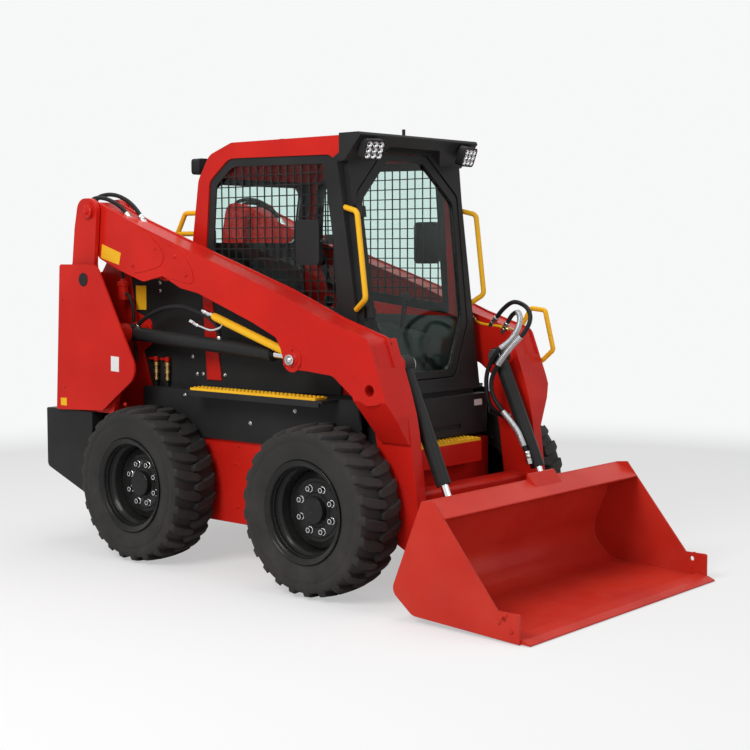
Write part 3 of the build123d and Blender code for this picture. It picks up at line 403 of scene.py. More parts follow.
def turnedShape(rows, sides=48):
    # rows of (distance along z, radius) spun round z: x = radius cos angle, y = radius sin angle
    rows = np.asarray(rows, float)
    angle = np.arange(sides) * 2 * np.pi / sides
    rings = np.stack([rows[:, 1:] * np.cos(angle), rows[:, 1:] * np.sin(angle),
                      np.repeat(rows[:, :1], sides, 1)], -1)
    return tubeShape(rings)


def ringShape(rows, sides=48):
    # as turnedShape, but the row of points is itself a closed loop, so the surface is a solid ring
    rows = np.asarray(rows, float)
    angle = np.arange(sides) * 2 * np.pi / sides
    grid = np.stack([rows[None, :, 1] * np.cos(angle)[:, None], rows[None, :, 1] * np.sin(angle)[:, None],
                     np.repeat(rows[None, :, 0], sides, 0)], -1)
    return grid.reshape(-1, 3), gridFaces(sides, len(rows), joinRows=True)


def placed(shape, place, direction=(0, 0, 1), up=(0, 0, 1)):
    # a shape made round z, turned so that z points in direction, and moved to place
    points, faces = shape
    return points @ axes(direction, up).T + np.asarray(place, float), faces


def smoothPath(points, steps=6):
    # cubic through the points: its slope at each is half the step between that point's neighbours
    p = np.asarray(points, float)
    slope = np.gradient(p, axis=0)
    t = np.linspace(0, 1, steps, endpoint=False)[None, :, None]
    a, b, da, db = p[:-1, None], p[1:, None], slope[:-1, None], slope[1:, None]
    curve = ((2 * t**3 - 3 * t**2 + 1) * a + (t**3 - 2 * t**2 + t) * da
             + (3 * t**2 - 2 * t**3) * b + (t**3 - t**2) * db)
    return np.concatenate([curve.reshape(-1, 3), p[-1:]])


def hoseShape(path, radius, sides=14):
    # rings square to the path: centre plus radius times (cos angle u + sin angle v); radius may change along it
    path = np.asarray(path, float)
    along = np.gradient(path, axis=0)
    along /= np.linalg.norm(along, axis=1)[:, None]
    helper = np.eye(3)[np.abs(along).max(0).argmin()]
    u = np.cross(along, helper)
    u /= np.linalg.norm(u, axis=1)[:, None]
    v = np.cross(along, u)
    angle = np.arange(sides) * 2 * np.pi / sides
    size = np.broadcast_to(radius, len(path))[:, None, None]
    across = np.cos(angle)[None, :, None] * u[:, None] + np.sin(angle)[None, :, None] * v[:, None]
    return tubeShape(path[:, None] + size * across)


def plateShape(outline, low, high, edge=0.0):
    # an outline in x and y given a thickness in z; its upper rim steps in by edge, towards the middle
    outline = np.asarray(outline, float)
    middle = outline.mean(0)
    reach = np.linalg.norm(outline - middle, axis=1)[:, None]
    inner = outline + (middle - outline) / reach * edge
    levels = [(outline, low), (outline, high - edge), (inner, high)] if edge else [(outline, low), (outline, high)]
    return tubeShape(np.stack([np.column_stack([line, np.full(len(line), z)]) for line, z in levels]))


def roundedOutline(width, height, radius, steps=4):
    # rectangle about the middle with quarter circles at its corners
    quarter = np.linspace(0, np.pi / 2, steps)
    corners = [(1, 1, 0), (-1, 1, 1), (-1, -1, 2), (1, -1, 3)]
    return np.concatenate([np.column_stack([
        sx * (width / 2 - radius) + radius * np.cos(quarter + k * np.pi / 2),
        sy * (height / 2 - radius) + radius * np.sin(quarter + k * np.pi / 2)]) for sx, sy, k in corners])


def boltShape(size, tall, washer):
    # hexagon head with a chamfered top on a thin washer
    head = turnedShape([(0, size), (tall * 0.8, size), (tall, size * 0.86)], sides=6)
    under = turnedShape([(-0.001, washer), (tall * 0.14, washer), (tall * 0.2, washer * 0.94)], sides=20)
    return joined([under, head])


def addPiece(name, shape, look, body, instead=(), smooth=35, bevel=0.0):
    # one object: its mesh, finish and body, and the solids that it is shown in place of
    points, faces = shape
    mesh = bpy.data.meshes.new(name)
    mesh.from_pydata(np.asarray(points).tolist(), [], faces)
    piece = bpy.data.objects.new(name, mesh)
    scene.collection.objects.link(piece)
    work = bmesh.new()
    work.from_mesh(mesh)
    bmesh.ops.recalc_face_normals(work, faces=work.faces)
    work.to_mesh(mesh)
    work.free()
    mesh.shade_smooth()
    mesh.set_sharp_from_angle(angle=math.radians(smooth))
    mesh.materials.append(finish[look])
    if bevel:
        rim = piece.modifiers.new("bevel", "BEVEL")
        rim.width, rim.segments, rim.limit_method = bevel, 2, "ANGLE"
    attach(piece, body)
    if instead:
        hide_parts(*instead)
    return piece


# tyres: a carcass spun round the axle, and slanted tread bars carried over its shoulders
tyre = {
    "bars": 25,                 # on each shoulder
    "halfStep": 0.5,            # how far the other shoulder's bars are turned, in steps
    "carcass": [                # out from the middle, radius: from one bead to the middle of the tread
        (0.1110, 0.2135), (0.1128, 0.2350), (0.1170, 0.2362), (0.1200, 0.2400), (0.1196, 0.2450), (0.1232, 0.2540),
        (0.1285, 0.2740), (0.1308, 0.2950), (0.1312, 0.3120), (0.1300, 0.3150), (0.1302, 0.3185), (0.1318, 0.3215),
        (0.1318, 0.3380), (0.1300, 0.3480), (0.1262, 0.3560), (0.1200, 0.3595), (0.0800, 0.3635), (0.0300, 0.3655)],
    "bar": [                    # out from the middle, radius of top and of foot, start and end round the tyre
        (0.1312, 0.3400, 0.3370, 0.000, 0.034), (0.1302, 0.3520, 0.3450, -0.001, 0.036),
        (0.1240, 0.3690, 0.3520, -0.001, 0.038), (0.1185, 0.3760, 0.3560, 0.000, 0.040),
        (0.1020, 0.3805, 0.3590, 0.011, 0.052), (0.0750, 0.3845, 0.3600, 0.021, 0.064),
        (0.0400, 0.3875, 0.3620, 0.029, 0.071), (0.0100, 0.3888, 0.3630, 0.036, 0.077),
        (-0.0040, 0.3889, 0.3630, 0.041, 0.0765), (-0.0120, 0.3886, 0.3630, 0.047, 0.073),
        (-0.0155, 0.3880, 0.3630, 0.054, 0.067)],
    "draft": 0.006,
    "rounding": 0.0028,
    "rollRadius": 0.385,        # turns a distance round the tyre into an angle
    "footIn": (0.009, 0.010, 0.010, 0.008),     # how far the feet of the shoulder's rows lie inward
}


def barShape(t):
    # six points round each row: foot, side, top, top, side, foot; the angle round the axle is distance over radius
    rows = np.array(t["bar"])
    out, top, foot, first, last = rows.T
    edge, spread = t["rounding"], t["draft"]
    along = np.stack([first - spread, first, first + edge, last - edge, last, last + spread], 1)
    high = np.stack([foot, top - edge, top, top, top - edge, foot], 1)
    inward = np.zeros(along.shape)
    inward[:len(t["footIn"]), [0, 5]] = np.array(t["footIn"])[:, None]
    angle = along / t["rollRadius"]
    rings = np.stack([out[:, None] - inward, -high * np.sin(angle), high * np.cos(angle)], -1)
    return tubeShape(rings)


def aboutX(angles):
    # one turn about x for each angle
    c, s, zero = np.cos(angles), np.sin(angles), 0 * angles
    rows = [(zero + 1, zero, zero), (zero, c, -s), (zero, s, c)]
    return np.stack([np.stack(row, -1) for row in rows], -2)


def tyreShape(t):
    half = np.array(t["carcass"])
    loop = np.concatenate([half, half[::-1] * [-1, 1]])
    points, faces = ringShape(loop, sides=120)
    carcass = (points[:, [2, 0, 1]], faces)
    step = 2 * np.pi / t["bars"]
    turns = aboutX(np.arange(t["bars"]) * step)
    bar = barShape(t)
    near = repeated(bar, turns, np.zeros((t["bars"], 3)))
    far = repeated((bar[0] * [-1, 1, 1], bar[1]), aboutX((np.arange(t["bars"]) + t["halfStep"]) * step),
                   np.zeros((t["bars"], 3)))
    return joined([carcass, near, far])


# rims: drop centre barrel, dished disc with a hub cap, hub and spindle; distances out from the tyre's middle
rim = {
    "barrel": [
        (0.1215, 0.2330), (0.1245, 0.2330), (0.1260, 0.2312), (0.1260, 0.2285), (0.1235, 0.2255), (0.1205, 0.2190),
        (0.1170, 0.2085), (0.1130, 0.2055), (0.0960, 0.2040), (0.0945, 0.2015), (0.0780, 0.2005), (0.0745, 0.1975),
        (0.0715, 0.1975), (0.0660, 0.1920), (0.0600, 0.1855), (0.0560, 0.1835), (-0.0560, 0.1835), (-0.0660, 0.1920),
        (-0.0745, 0.2010), (-0.1130, 0.2050), (-0.1235, 0.2255), (-0.1260, 0.2300), (-0.1245, 0.2330),
        (-0.1160, 0.2330), (-0.1140, 0.2125), (-0.0720, 0.2125), (-0.0540, 0.1925), (0.0540, 0.1925),
        (0.0720, 0.2125), (0.1140, 0.2125), (0.1160, 0.2330)],
    "disc": [
        (-0.1430, 0.0318), (-0.0290, 0.0318), (-0.0290, 0.0800), (0.0080, 0.0800), (0.0080, 0.1700), (-0.0060, 0.1850),
        (0.0020, 0.1850), (0.0130, 0.1780), (0.0190, 0.1660), (0.0190, 0.1480), (0.0205, 0.1455), (0.0220, 0.1440),
        (0.0220, 0.1280), (0.0250, 0.1250), (0.0250, 0.0800), (0.0225, 0.0770), (0.0225, 0.0650), (0.0245, 0.0620),
        (0.0530, 0.0615), (0.0555, 0.0590), (0.0560, 0.0560), (0.0560, 0.0140), (0.0545, 0.0120), (0.0545, 0.0060),
        (0.0560, 0.0050), (0.0560, 0.0020)],
    "nutCircle": 0.1016,
    "nuts": 8,
    "nut": (0.0150, 0.019),
}


def wheelPieces(place, side, y):
    out = sides[side]
    centre = np.array([out * abs(frontAxle[0]), y, frontAxle[2]])
    body = f"wheel_{place}_{side}"

    def onWheel(shape):
        points, faces = shape
        return points * [out, 1, 1] + centre, faces

    def spun(shape):
        return shape[0][:, [2, 0, 1]], shape[1]

    addPiece(f"tyre_tread_{place}_{side}", onWheel(tyreShape(tyre)), "rubber", body, [f"tyre_{place}_{side}"])
    barrel = spun(ringShape(rim["barrel"], sides=96))
    disc = spun(turnedShape(rim["disc"], sides=72))
    addPiece(f"wheel_rim_{place}_{side}", onWheel(joined([barrel, disc])), "rimBlack", body,
             [f"rim_{place}_{side}"])
    angles = np.radians(360 / rim["nuts"] * (np.arange(rim["nuts"]) + 0.5))
    spots = np.stack([0 * angles + 0.0245, rim["nutCircle"] * np.cos(angles), rim["nutCircle"] * np.sin(angles)], 1)
    size, tall = rim["nut"]
    nut = joined([turnedShape([(-0.001, size * 1.12), (0.0025, size * 1.12), (0.003, size)], sides=24),
                  turnedShape([(0.002, size), (tall * 0.8, size), (tall, size * 0.84), (tall, size * 0.62),
                               (tall * 0.7, size * 0.56)], sides=6)])
    stud = turnedShape([(0.002, size * 0.5), (tall * 0.86, size * 0.5), (tall * 0.94, size * 0.3)], sides=12)
    addPiece(f"wheel_nuts_{place}_{side}", onWheel(scattered(spun(nut), spots)), "chrome", body)
    addPiece(f"wheel_studs_{place}_{side}", onWheel(scattered(spun(stud), spots)), "blackPaint", body)


for place, y in (("front", frontAxle[1]), ("rear", rearAxleY)):
    for side in sides:
        wheelPieces(place, side, y)
print("wheels made")

# hoses on the arms: points are (x, behind the front axle, z)
hoses = {
    "radius": 0.011,
    "over": [  # (x, (y, z) points) over each arm's rear end
        (0.500, [(1.650, 1.700), (1.722, 1.715), (1.752, 1.770), (1.722, 1.824), (1.650, 1.842), (1.560, 1.836),
                 (1.470, 1.804), (1.400, 1.756), (1.350, 1.698)]),
        (0.545, [(1.650, 1.728), (1.712, 1.738), (1.732, 1.788), (1.690, 1.822), (1.610, 1.822), (1.520, 1.796),
                 (1.450, 1.758), (1.405, 1.712)])],
    "knee": [
        [(0.470, -0.140, 1.190), (0.456, -0.205, 1.252), (0.436, -0.275, 1.291), (0.404, -0.345, 1.293),
         (0.378, -0.412, 1.268), (0.356, -0.444, 1.222), (0.338, -0.428, 1.162), (0.314, -0.378, 1.100),
         (0.300, -0.327, 1.037), (0.300, -0.280, 0.972), (0.300, -0.257, 0.915), (0.300, -0.266, 0.850),
         (0.300, -0.312, 0.790), (0.300, -0.368, 0.735), (0.300, -0.416, 0.682), (0.300, -0.450, 0.618),
         (0.304, -0.466, 0.582), (0.306, -0.474, 0.556)],
        [(0.468, -0.212, 1.160), (0.456, -0.262, 1.226), (0.430, -0.318, 1.246), (0.402, -0.352, 1.214),
         (0.366, -0.362, 1.166), (0.332, -0.342, 1.112), (0.299, -0.292, 1.062), (0.300, -0.246, 0.992),
         (0.300, -0.228, 0.932), (0.300, -0.230, 0.868), (0.304, -0.240, 0.815), (0.330, -0.258, 0.770),
         (0.380, -0.268, 0.744), (0.425, -0.272, 0.738)]],
    "sleeves": [(0, 0.38, 0.50), (0, 0.72, 0.88), (1, 0.16, 0.44)],  # line, share of it
    "feedX": 0.516,
    "feed": [(1.405, 1.140), (1.375, 1.180), (1.300, 1.222), (1.177, 1.262), (1.047, 1.272), (0.941, 1.252),
             (0.850, 1.224), (0.790, 1.180), (0.770, 1.095)],
}


def fittingShape(path, radius):
    # crimped collar and hexagon nut at the start of a hose, along its first run
    start, ahead = np.asarray(path[0]), np.asarray(path[0]) - np.asarray(path[2])
    nut = turnedShape([(-0.004, radius * 1.5), (0.022, radius * 1.5), (0.024, radius * 1.3)], sides=6)
    rows = [(-0.040, 1.12), (-0.037, 1.3), (-0.026, 1.3), (-0.024, 1.22), (-0.021, 1.3), (-0.010, 1.3),
            (-0.006, 1.15)]
    collar = turnedShape([(along, radius * share) for along, share in rows], sides=20)
    return placed(joined([nut, collar]), start, ahead)


def sleeveShape(path, first, last, radius):
    # wound guard on a hose: radius rises and falls like a wave along its length
    count = len(path)
    run = path[int(first * count):int(last * count) + 1]
    t = np.linspace(0, len(run) - 1, len(run) * 6)
    fine = np.stack([np.interp(t, np.arange(len(run)), run[:, k]) for k in range(3)], 1)
    wave = radius * 1.22 + 0.0014 * np.abs(np.sin(np.arange(len(fine)) * np.pi / 4))
    return hoseShape(fine, wave, sides=12)


overPaths = [smoothPath(atBehind([(out * x, y, z) for y, z in points]), 7)
             for x, points in hoses["over"] for out in (1, -1)]
kneePaths = [smoothPath(atBehind(points), 7) for points in hoses["knee"]]
armPaths = overPaths + kneePaths
armHoses = [hoseShape(path, hoses["radius"]) for path in armPaths]
addPiece("arm_hoses", joined(armHoses), "hoseRubber", "lift_arms")
fittings = [fittingShape(line, hoses["radius"]) for path in armPaths for line in (path, path[::-1])]
addPiece("hose_fittings", joined(fittings), "steel", "lift_arms")
sleeves = [sleeveShape(kneePaths[k], a, b, hoses["radius"]) for k, a, b in hoses["sleeves"]]
addPiece("hose_sleeves", joined(sleeves), "silverSleeve", "lift_arms")
for side, out in sides.items():
    feed = smoothPath(atBehind([(out * hoses["feedX"], y, z) for y, z in hoses["feed"]]), 7)
    addPiece(f"lift_hose_{side}", hoseShape(feed, hoses["radius"]), "hoseRubber", f"lift_barrel_{side}")
    ends = [fittingShape(line, hoses["radius"]) for line in (feed, feed[::-1])]
    addPiece(f"lift_hose_ends_{side}", joined(ends), "steel", f"lift_barrel_{side}")
print("hoses made")

# flat plates on the sides: outlines are (behind the front axle, z) and stand off a face by their thickness
def sideShape(outline, face, thickness, out):
    outline = np.asarray(outline, float) + [frontAxle[1], 0]
    points, faces = plateShape(outline, 0.0, thickness, thickness * 0.45)
    return np.stack([out * (face + points[:, 2]), points[:, 0], points[:, 1]], 1), faces


def bothSides(outline, face, thickness):
    # the same plate on the left and on the right
    return joined([sideShape(outline, face, thickness, out) for out in sides.values()])


def discOutline(y, z, radius, steps=28):
    angle = np.arange(steps) * 2 * np.pi / steps
    return np.stack([y + radius * np.cos(angle), z + radius * np.sin(angle)], 1)


armTrim = {
    "face": 0.614,
    "rearPlate": [(1.335, 1.693), (1.250, 1.668), (1.160, 1.622), (1.085, 1.560), (1.062, 1.519), (1.075, 1.490),
                  (1.101, 1.470), (1.200, 1.448), (1.286, 1.438)],
    "frontPlate": [(1.040, 1.580), (0.960, 1.548), (0.900, 1.509), (0.858, 1.450), (0.845, 1.413), (0.852, 1.395),
                   (0.874, 1.388), (0.960, 1.402), (1.050, 1.420), (1.030, 1.500)],
    "liftPlate": (0.187, 1.053, 0.058),
    "liftBoss": (0.187, 1.053, 0.036),
    "thick": 0.004,
    "bossThick": 0.010,
    "pinCap": [(0.000, 0.023), (0.008, 0.023), (0.011, 0.020), (0.011, 0.009), (0.015, 0.009), (0.017, 0.006)],
    "pin": (0.626, 0.187, 1.053),
    "towerCap": [(0.000, 0.034), (0.006, 0.034), (0.009, 0.030), (0.009, 0.014), (0.016, 0.013), (0.018, 0.010)],
    "towerPin": (0.655, 1.605, 1.750),
    "bolts": [(1.300, 1.480), (1.130, 1.560), (0.900, 1.430), (0.980, 1.520), (0.187, 1.101), (0.145, 1.030),
              (0.229, 1.030)],
}
for side, out in sides.items():
    t = armTrim
    plates = [sideShape(t[name], t["face"], t["thick"], out) for name in ("rearPlate", "frontPlate")]
    plates += [sideShape(discOutline(*t["liftPlate"]), t["face"], t["thick"], out),
               sideShape(discOutline(*t["liftBoss"]), t["face"], t["bossThick"], out)]
    addPiece(f"arm_plates_{side}", joined(plates), "redPaint", "lift_arms")
    spots = np.array([(out * (t["face"] + 0.003), y + frontAxle[1], z) for y, z in t["bolts"]])
    bolt = placed(boltShape(0.0085, 0.007, 0.011), (0, 0, 0), (out, 0, 0))
    addPiece(f"arm_bolts_{side}", scattered(bolt, spots), "redPaint", "lift_arms")
    mirrored = np.array([out, 1, 1])
    cap = placed(turnedShape(t["pinCap"], sides=32), atBehind(mirrored * t["pin"]), (out, 0, 0))
    addPiece(f"arm_pin_cap_{side}", cap, "chrome", "lift_arms")
    rear = placed(turnedShape(t["towerCap"], sides=32), atBehind(mirrored * t["towerPin"]), (out, 0, 0))
    addPiece(f"tower_pin_cap_{side}", rear, "redPaint", "chassis")

# red post on each side panel, and the grey lining of the cab below its windows
panelTrim = {
    "post": [(1.000, 1.330), (0.935, 1.330), (0.868, 0.905), (0.975, 0.905)],
    "postFace": 0.415,
    "postThick": 0.006,
    "lining": [(0.020, 0.900), (0.020, 1.222), (0.960, 1.222), (0.960, 0.900)],
    "liningFace": 0.3715,
    "liningThick": 0.003,
    "infill": [(1.375, 0.860), (1.375, 1.425), (1.775, 1.425), (1.775, 0.860)],
    "infillFace": 0.408,
    "infillThick": 0.005,
}
t = panelTrim
addPiece("side_posts", bothSides(t["post"], t["postFace"], t["postThick"]), "redPaint", "chassis")
linings = [sideShape(t["lining"], -t["liningFace"], t["liningThick"], -out) for out in sides.values()]
addPiece("cab_lining", joined(linings), "greyPlastic", "chassis")

# hose end on the lock tube and the pipe that feeds it
lockFeed = {
    "nut": [(-0.002, 0.014), (0.020, 0.014), (0.022, 0.012)],
    "collar": [(0.020, 0.010), (0.030, 0.0125), (0.052, 0.0125), (0.056, 0.011), (0.060, 0.0125), (0.078, 0.0125),
               (0.082, 0.010)],
    "place": (-0.577, 0.750, 1.235),
    "aim": (0, 1, 0.32),
    "pipe": [(-0.560, 0.700, 1.205), (-0.548, 0.735, 1.180), (-0.545, 0.800, 1.165), (-0.545, 0.870, 1.178),
             (-0.545, 0.930, 1.196)],
    "pipeRadius": 0.007,
    "endRadius": 0.009,
}
lockFitting = joined([turnedShape(lockFeed["nut"], sides=6), turnedShape(lockFeed["collar"], sides=20)])
lockFitting = placed(lockFitting, atBehind(lockFeed["place"]), lockFeed["aim"])
addPiece("lock_fitting", lockFitting, "chrome", "lift_arms")
lockPipe = smoothPath(atBehind(lockFeed["pipe"]), 7)
lockLine = [hoseShape(lockPipe, lockFeed["pipeRadius"]), fittingShape(lockPipe[::-1], lockFeed["endRadius"])]
addPiece("lock_pipe", joined(lockLine), "chrome", "lift_arms")

# flat infill that closes the side between the side panel and the rear frame
t = panelTrim
addPiece("side_infill", bothSides(t["infill"], t["infillFace"], t["infillThick"]), "blackPaint", "chassis")

# filter and its pipes between the tower's plates
oilFilter = {
    "body": [(-0.052, 0.020), (-0.048, 0.027), (0.020, 0.027), (0.024, 0.030), (0.044, 0.030), (0.048, 0.016),
             (0.062, 0.014)],
    "place": (-0.470, 1.560, 1.345),
    "pipes": [
        [(-0.470, 1.560, 1.405), (-0.468, 1.562, 1.440), (-0.462, 1.590, 1.462), (-0.455, 1.640, 1.470)],
        [(-0.470, 1.535, 1.330), (-0.470, 1.500, 1.300), (-0.470, 1.478, 1.220), (-0.470, 1.474, 1.100),
         (-0.460, 1.474, 0.980)]],
    "pipeRadius": 0.009,
}
addPiece("filter_body", placed(turnedShape(oilFilter["body"], sides=32), atBehind(oilFilter["place"]), (0, 0, 1)),
         "redPaint", "chassis")
filterPipes = [hoseShape(smoothPath(atBehind(points)), oilFilter["pipeRadius"]) for points in oilFilter["pipes"]]
addPiece("filter_pipes", joined(filterPipes), "hoseRubber", "chassis")

# bolts on the body's sides, painted on red and bright on black: (x face, behind the front axle, z), on both sides
bodyBolts = {
    "red": [(0.470, 0.697, 0.600), (0.470, 0.720, 0.509), (0.470, 0.709, 0.298), (0.470, 0.480, 0.560),
            (0.470, 0.480, 0.300), (0.470, 0.600, 0.300), (0.680, 1.800, 0.840), (0.680, 1.800, 1.300),
            (0.680, 1.300, 0.780)],
    "black": [(0.415, 1.330, 1.385), (0.415, 1.331, 1.344), (0.415, 1.056, 0.930), (0.415, 1.011, 0.932),
              (0.415, 1.088, 1.017), (0.415, 0.850, 0.935), (0.486, 1.069, 0.828), (0.486, 0.300, 0.800),
              (0.486, 0.600, 0.720)],
}
for ground, look in (("red", "redPaint"), ("black", "steel")):
    shapes = []
    for side, out in sides.items():
        spots = np.array([(out * (x - 0.001), y + frontAxle[1], z) for x, y, z in bodyBolts[ground]])
        bolt = placed(boltShape(0.0075, 0.006, 0.0105), (0, 0, 0), (out, 0, 0))
        shapes.append(scattered(bolt, spots))
    addPiece(f"body_bolts_{ground}", joined(shapes), look, "chassis")

# bare labels: corner points (behind the front axle, z) on a face; nothing is written on them
labels = [  # name, face, finish, body, sides, corners
    ("arm_label", 0.614, "yellowPaint", "lift_arms", (-1,),
     [(1.545, 1.586), (1.555, 1.514), (1.411, 1.479), (1.394, 1.540)]),
    ("panel_label", 0.415, "yellowPaint", "chassis", (-1, 1),
     [(1.521, 1.370), (1.521, 1.244), (1.440, 1.244), (1.440, 1.370)]),
    ("tower_label", 0.680, "whiteLabel", "chassis", (-1, 1),
     [(1.406, 1.020), (1.408, 0.944), (1.345, 0.942), (1.343, 1.018)]),
    ("tower_tag", 0.680, "yellowPaint", "chassis", (-1, 1),
     [(1.830, 0.782), (1.831, 0.743), (1.780, 0.742), (1.779, 0.784)]),
]
for name, face, look, body, outs, corners in labels:
    shapes = [sideShape(corners, face, 0.0012, out) for out in outs]
    addPiece(name, joined(shapes), look, body)
frontLabel = plateShape(roundedOutline(0.062, 0.030, 0.004), 0.0, 0.0012, 0.0004)
addPiece("front_label", placed(frontLabel, atBehind((0.336, -0.150, 0.806)), (0, -1, 0)), "whiteLabel", "chassis")

# lamps: rounded housing, rim, three by three bright cups and a clear lens, aimed along a direction
lamps = [  # name, place (x, behind the front axle, z), direction, width, height, depth
    ("lamp_right", (-0.348, -0.066, 2.002), (-0.14, -0.93, -0.33), 0.118, 0.094, 0.040),
    ("lamp_left", (0.348, -0.066, 2.002), (0.14, -0.93, -0.33), 0.118, 0.094, 0.040),
    ("lamp_rear", (-0.301, 1.132, 1.975), (0, 1, 0), 0.078, 0.080, 0.060),
]
cupRows = [(0.0, 0.0020), (0.001, 0.0055), (0.004, 0.0088), (0.008, 0.0105), (0.0086, 0.0105), (0.0086, 0.0108),
           (-0.001, 0.0108)]
cup = turnedShape(cupRows, sides=20)
cupSpots = np.array([(x, y, 0.0) for x in (-0.0235, 0.0, 0.0235) for y in (-0.0190, 0.0, 0.0190)])
for name, place, aim, width, height, depth in lamps:
    back = plateShape(roundedOutline(width, height, 0.016), -depth / 2, depth / 2 - 0.009, 0.003)
    outer, inner = roundedOutline(width, height, 0.016), roundedOutline(width - 0.010, height - 0.010, 0.012)
    levels = [(outer, depth / 2 - 0.0100), (outer, depth / 2 - 0.001), (outer * 0.985, depth / 2), (inner, depth / 2),
              (inner, depth / 2 - 0.0095)]
    collar = np.stack([np.column_stack([line, np.full(len(line), z)]) for line, z in levels])
    collar = (collar.reshape(-1, 3), gridFaces(len(levels), collar.shape[1], joinRows=True))
    scale = np.array([(width - 0.016) / 0.0700, (height - 0.014) / 0.0600, 1.0])
    cups = scattered((cup[0] * scale, cup[1]), cupSpots * scale + [0, 0, depth / 2 - 0.0098])
    lens = plateShape(roundedOutline(width - 0.012, height - 0.012, 0.011), depth / 2 - 0.0018, depth / 2 - 0.0004)
    housing = placed(joined([back, collar]), atBehind(place), aim)
    addPiece(f"{name}_housing", housing, "blackPlastic", "chassis", ["lamps"] if name == "lamp_right" else ())
    addPiece(f"{name}_cups", placed(cups, atBehind(place), aim), "chrome", "chassis")
    addPiece(f"{name}_lens", placed(lens, atBehind(place), aim), "lensGlass", "chassis")
bracket = [(-0.312, 0.560), (-0.290, 0.560), (-0.290, 0.730), (-0.312, 0.730)]      # x and y from the frame's middle
addPiece("lamp_rear_bracket", plateShape(bracket, 1.958, 1.972), "blackPaint", "chassis")

# valves on the side panel: brass bodies with collars, red levers
valves = {
    "spots": [(-0.436, 1.345, 0.955), (-0.436, 1.258, 0.955)],
    "body": [(-0.070, 0.008), (-0.066, 0.013), (-0.052, 0.013), (-0.050, 0.010), (-0.034, 0.010), (-0.032, 0.016),
             (-0.012, 0.016), (-0.010, 0.012), (0.004, 0.012), (0.006, 0.017), (0.024, 0.017), (0.028, 0.010),
             (0.036, 0.006)],
    "lever": [(-0.012, -0.006), (0.034, -0.005), (0.056, -0.003), (0.058, 0.003), (0.034, 0.006), (-0.012, 0.006)],
    "leverHeights": (0.036, 0.046),
    "knob": [(0.030, 0.013), (0.040, 0.014), (0.050, 0.014), (0.053, 0.010)],
    "pipe": [(-0.436, 1.345, 0.885), (-0.436, 1.345, 0.850), (-0.440, 1.320, 0.822), (-0.450, 1.270, 0.818),
             (-0.450, 1.200, 0.818)],
    "pipeRadius": 0.007,
    "pipeStep": 0.087,          # how far the second pipe lies ahead of the first
}
spots = atBehind(valves["spots"])
addPiece("valve_bodies", scattered(turnedShape(valves["body"], sides=24), spots), "brass", "chassis")
lever = plateShape(np.array(valves["lever"])[:, ::-1], *valves["leverHeights"], 0.002)
knob = turnedShape(valves["knob"], sides=24)
addPiece("valve_levers", scattered(joined([lever, knob]), spots), "redPaint", "chassis")
pipePoints = atBehind(valves["pipe"])
pipes = [hoseShape(smoothPath(pipePoints + [0, -step, 0]), valves["pipeRadius"]) for step in (0, valves["pipeStep"])]
addPiece("valve_pipes", joined(pipes), "hoseRubber", "chassis")

# bucket: hook plate over its top edge, bolts through its corner plates
bucketTrim = {
    "hook": [(-0.686, 0.512), (-0.686, 0.546), (-0.696, 0.546), (-0.742, 0.488)],
    "hookEnds": (-0.013, 0.193),        # from and to, in x
    "face": 0.7545,
    "bolts": [(-1.112, 0.113), (-1.080, 0.081), (-1.140, 0.050)],
}
points, faces = plateShape(np.array(bucketTrim["hook"]) + [frontAxle[1], 0], *bucketTrim["hookEnds"])
addPiece("bucket_hook", (points[:, [2, 0, 1]], faces), "bucketPaint", "bucket", bevel=0.003)
bucketBolts = []
for out in sides.values():
    spots = np.array([(out * bucketTrim["face"], y + frontAxle[1], z) for y, z in bucketTrim["bolts"]])
    bolt = placed(boltShape(0.009, 0.007, 0.0125), (0, 0, 0), (out, 0, 0))
    bucketBolts.append(scattered(bolt, spots))
addPiece("bucket_bolts", joined(bucketBolts), "bucketPaint", "bucket")

# raised tread on the steps: rows of small domes
treads = {
    "dome": [(-0.002, 0.0085), (0.001, 0.0085), (0.0035, 0.0062), (0.0045, 0.0030)],
    "sideX": (0.535, 0.560, 0.585),
    "sideY": (0.075, 0.890, 0.026),     # from, to, step
    "sideTop": 0.884,
    "frontX": (-0.245, 0.246, 0.027),   # from, to, step
    "frontY": (-0.212, -0.186, -0.160, -0.134),
    "frontTop": 0.646,
}
sideSpots = [(out * x, y, treads["sideTop"]) for out in (1, -1) for x in treads["sideX"]
             for y in np.arange(*treads["sideY"])]
frontSpots = [(x, y, treads["frontTop"]) for x in np.arange(*treads["frontX"]) for y in treads["frontY"]]
domes = scattered(turnedShape(treads["dome"], sides=12), atBehind(sideSpots + frontSpots))
addPiece("step_domes", domes, "yellowPaint", "chassis")

# thick lock tube along the right arm, and the yellow feed line on the left arm
lines = {
    "lock": [(-0.577, 0.752, 1.236), (-0.577, 0.735, 1.230), (-0.577, 0.265, 1.084), (-0.577, 0.248, 1.078)],
    "lockRadii": (0.0160, 0.0195, 0.0195, 0.0160),
    "yellow": [(0.470, -0.005, 1.222), (0.470, -0.050, 1.192), (0.470, -0.105, 1.180), (0.470, -0.184, 1.174),
               (0.466, -0.244, 1.156)],
    "yellowRadius": 0.010,
}
lockTube = hoseShape(atBehind(lines["lock"]), np.array(lines["lockRadii"]), sides=28)
addPiece("lock_tube", lockTube, "yellowPaint", "lift_arms", ["arm_lock"])
yellowLine = smoothPath(atBehind(lines["yellow"]), 7)
yellowEnds = [fittingShape(line, lines["yellowRadius"]) for line in (yellowLine, yellowLine[::-1])]
addPiece("yellow_line", hoseShape(yellowLine, lines["yellowRadius"]), "yellowPaint", "lift_arms")
addPiece("yellow_line_ends", joined(yellowEnds), "brass", "lift_arms")
print("plates, labels, lamps and small fittings made")


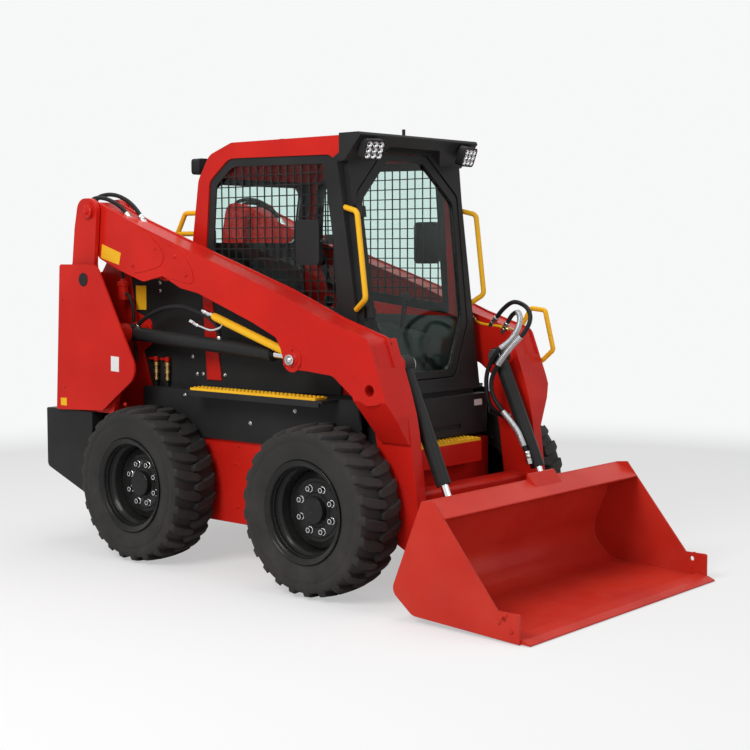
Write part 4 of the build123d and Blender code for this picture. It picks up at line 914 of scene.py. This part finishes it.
# seat: crowned pads on a moulded base
def padShape(size, crown, rows=26, cols=26):
    # closed pad: a rounded box whose two faces bulge; half sizes fall off with the sixth power along each edge
    u = np.linspace(-np.pi, np.pi, cols, endpoint=False)[None, :]
    v = np.linspace(-np.pi / 2 + 0.02, np.pi / 2 - 0.02, rows)[:, None]

    def power(a, n):
        return np.sign(a) * np.abs(a) ** n

    x = size[0] / 2 * power(np.cos(v), 0.35) * power(np.cos(u), 0.35)
    y = size[1] / 2 * power(np.cos(v), 0.35) * power(np.sin(u), 0.35)
    z = size[2] / 2 * power(np.sin(v), 0.6) * np.ones_like(u)
    swellX, swellY = (np.cos(np.clip(a / size[k] * np.pi, -1.57, 1.57)) for k, a in enumerate((x, y)))
    z = z + np.sign(np.sin(v)) * crown * swellX * swellY
    return tubeShape(np.stack([x, y, z], -1))


seatParts = {  # size, crown, place (x, behind the front axle, z), lean back in degrees, how far the cloth may move
    "seat_cushion": ((0.40, 0.40, 0.085), 0.012, (0.0, 0.610, 0.955), 86, 0.012),
    "seat_back": ((0.36, 0.50, 0.075), 0.012, (0.0, 0.865, 1.275), 12, 0.012),
}


puff = {"voxel": 0.006, "pressure": 4, "frames": 15}


def swell(piece, most):
    # cloth puffed up by pressure, each point held within its limit of where it started
    remesh = piece.modifiers.new("even", "REMESH")
    remesh.mode, remesh.voxel_size = "VOXEL", puff["voxel"]
    evaluated = piece.evaluated_get(bpy.context.evaluated_depsgraph_get())
    piece.data = bpy.data.meshes.new_from_object(evaluated)
    piece.modifiers.clear()
    start = np.array([v.co for v in piece.data.vertices])
    cloth = piece.modifiers.new("cloth", "CLOTH")
    cloth.settings.use_pressure = True
    cloth.settings.uniform_pressure_force = puff["pressure"]
    cloth.settings.effector_weights.gravity = 0
    for frameNumber in range(1, puff["frames"] + 1):
        scene.frame_set(frameNumber)
    soft = piece.evaluated_get(bpy.context.evaluated_depsgraph_get())
    end = np.array([v.co for v in soft.data.vertices])
    move = end - start
    length = np.linalg.norm(move, axis=1)[:, None]
    move *= np.minimum(1, most / np.maximum(length, 1e-6))
    piece.modifiers.clear()
    piece.data.vertices.foreach_set("co", (start + move).ravel())
    piece.data.update()
    scene.frame_set(1)


for name, (size, crown, place, lean, most) in seatParts.items():
    points, faces = padShape(size, crown)
    a = math.radians(90 - lean)
    turn = np.array([[1, 0, 0], [0, math.cos(a), -math.sin(a)], [0, math.sin(a), math.cos(a)]])
    piece = addPiece(name, (points @ turn.T + atBehind(place), faces), "vinyl", "chassis", smooth=80)
    swell(piece, most)
    piece.data.shade_smooth()
    piece.data.materials.clear()
    piece.data.materials.append(finish["vinyl"])
base = plateShape(roundedOutline(0.34, 0.34, 0.03), 0.640, 0.912, 0.006)
addPiece("seat_base", (base[0] + [0, 0.630 + frontAxle[1], 0], base[1]), "blackPlastic", "chassis",
         ["seat"])
print("seat made")
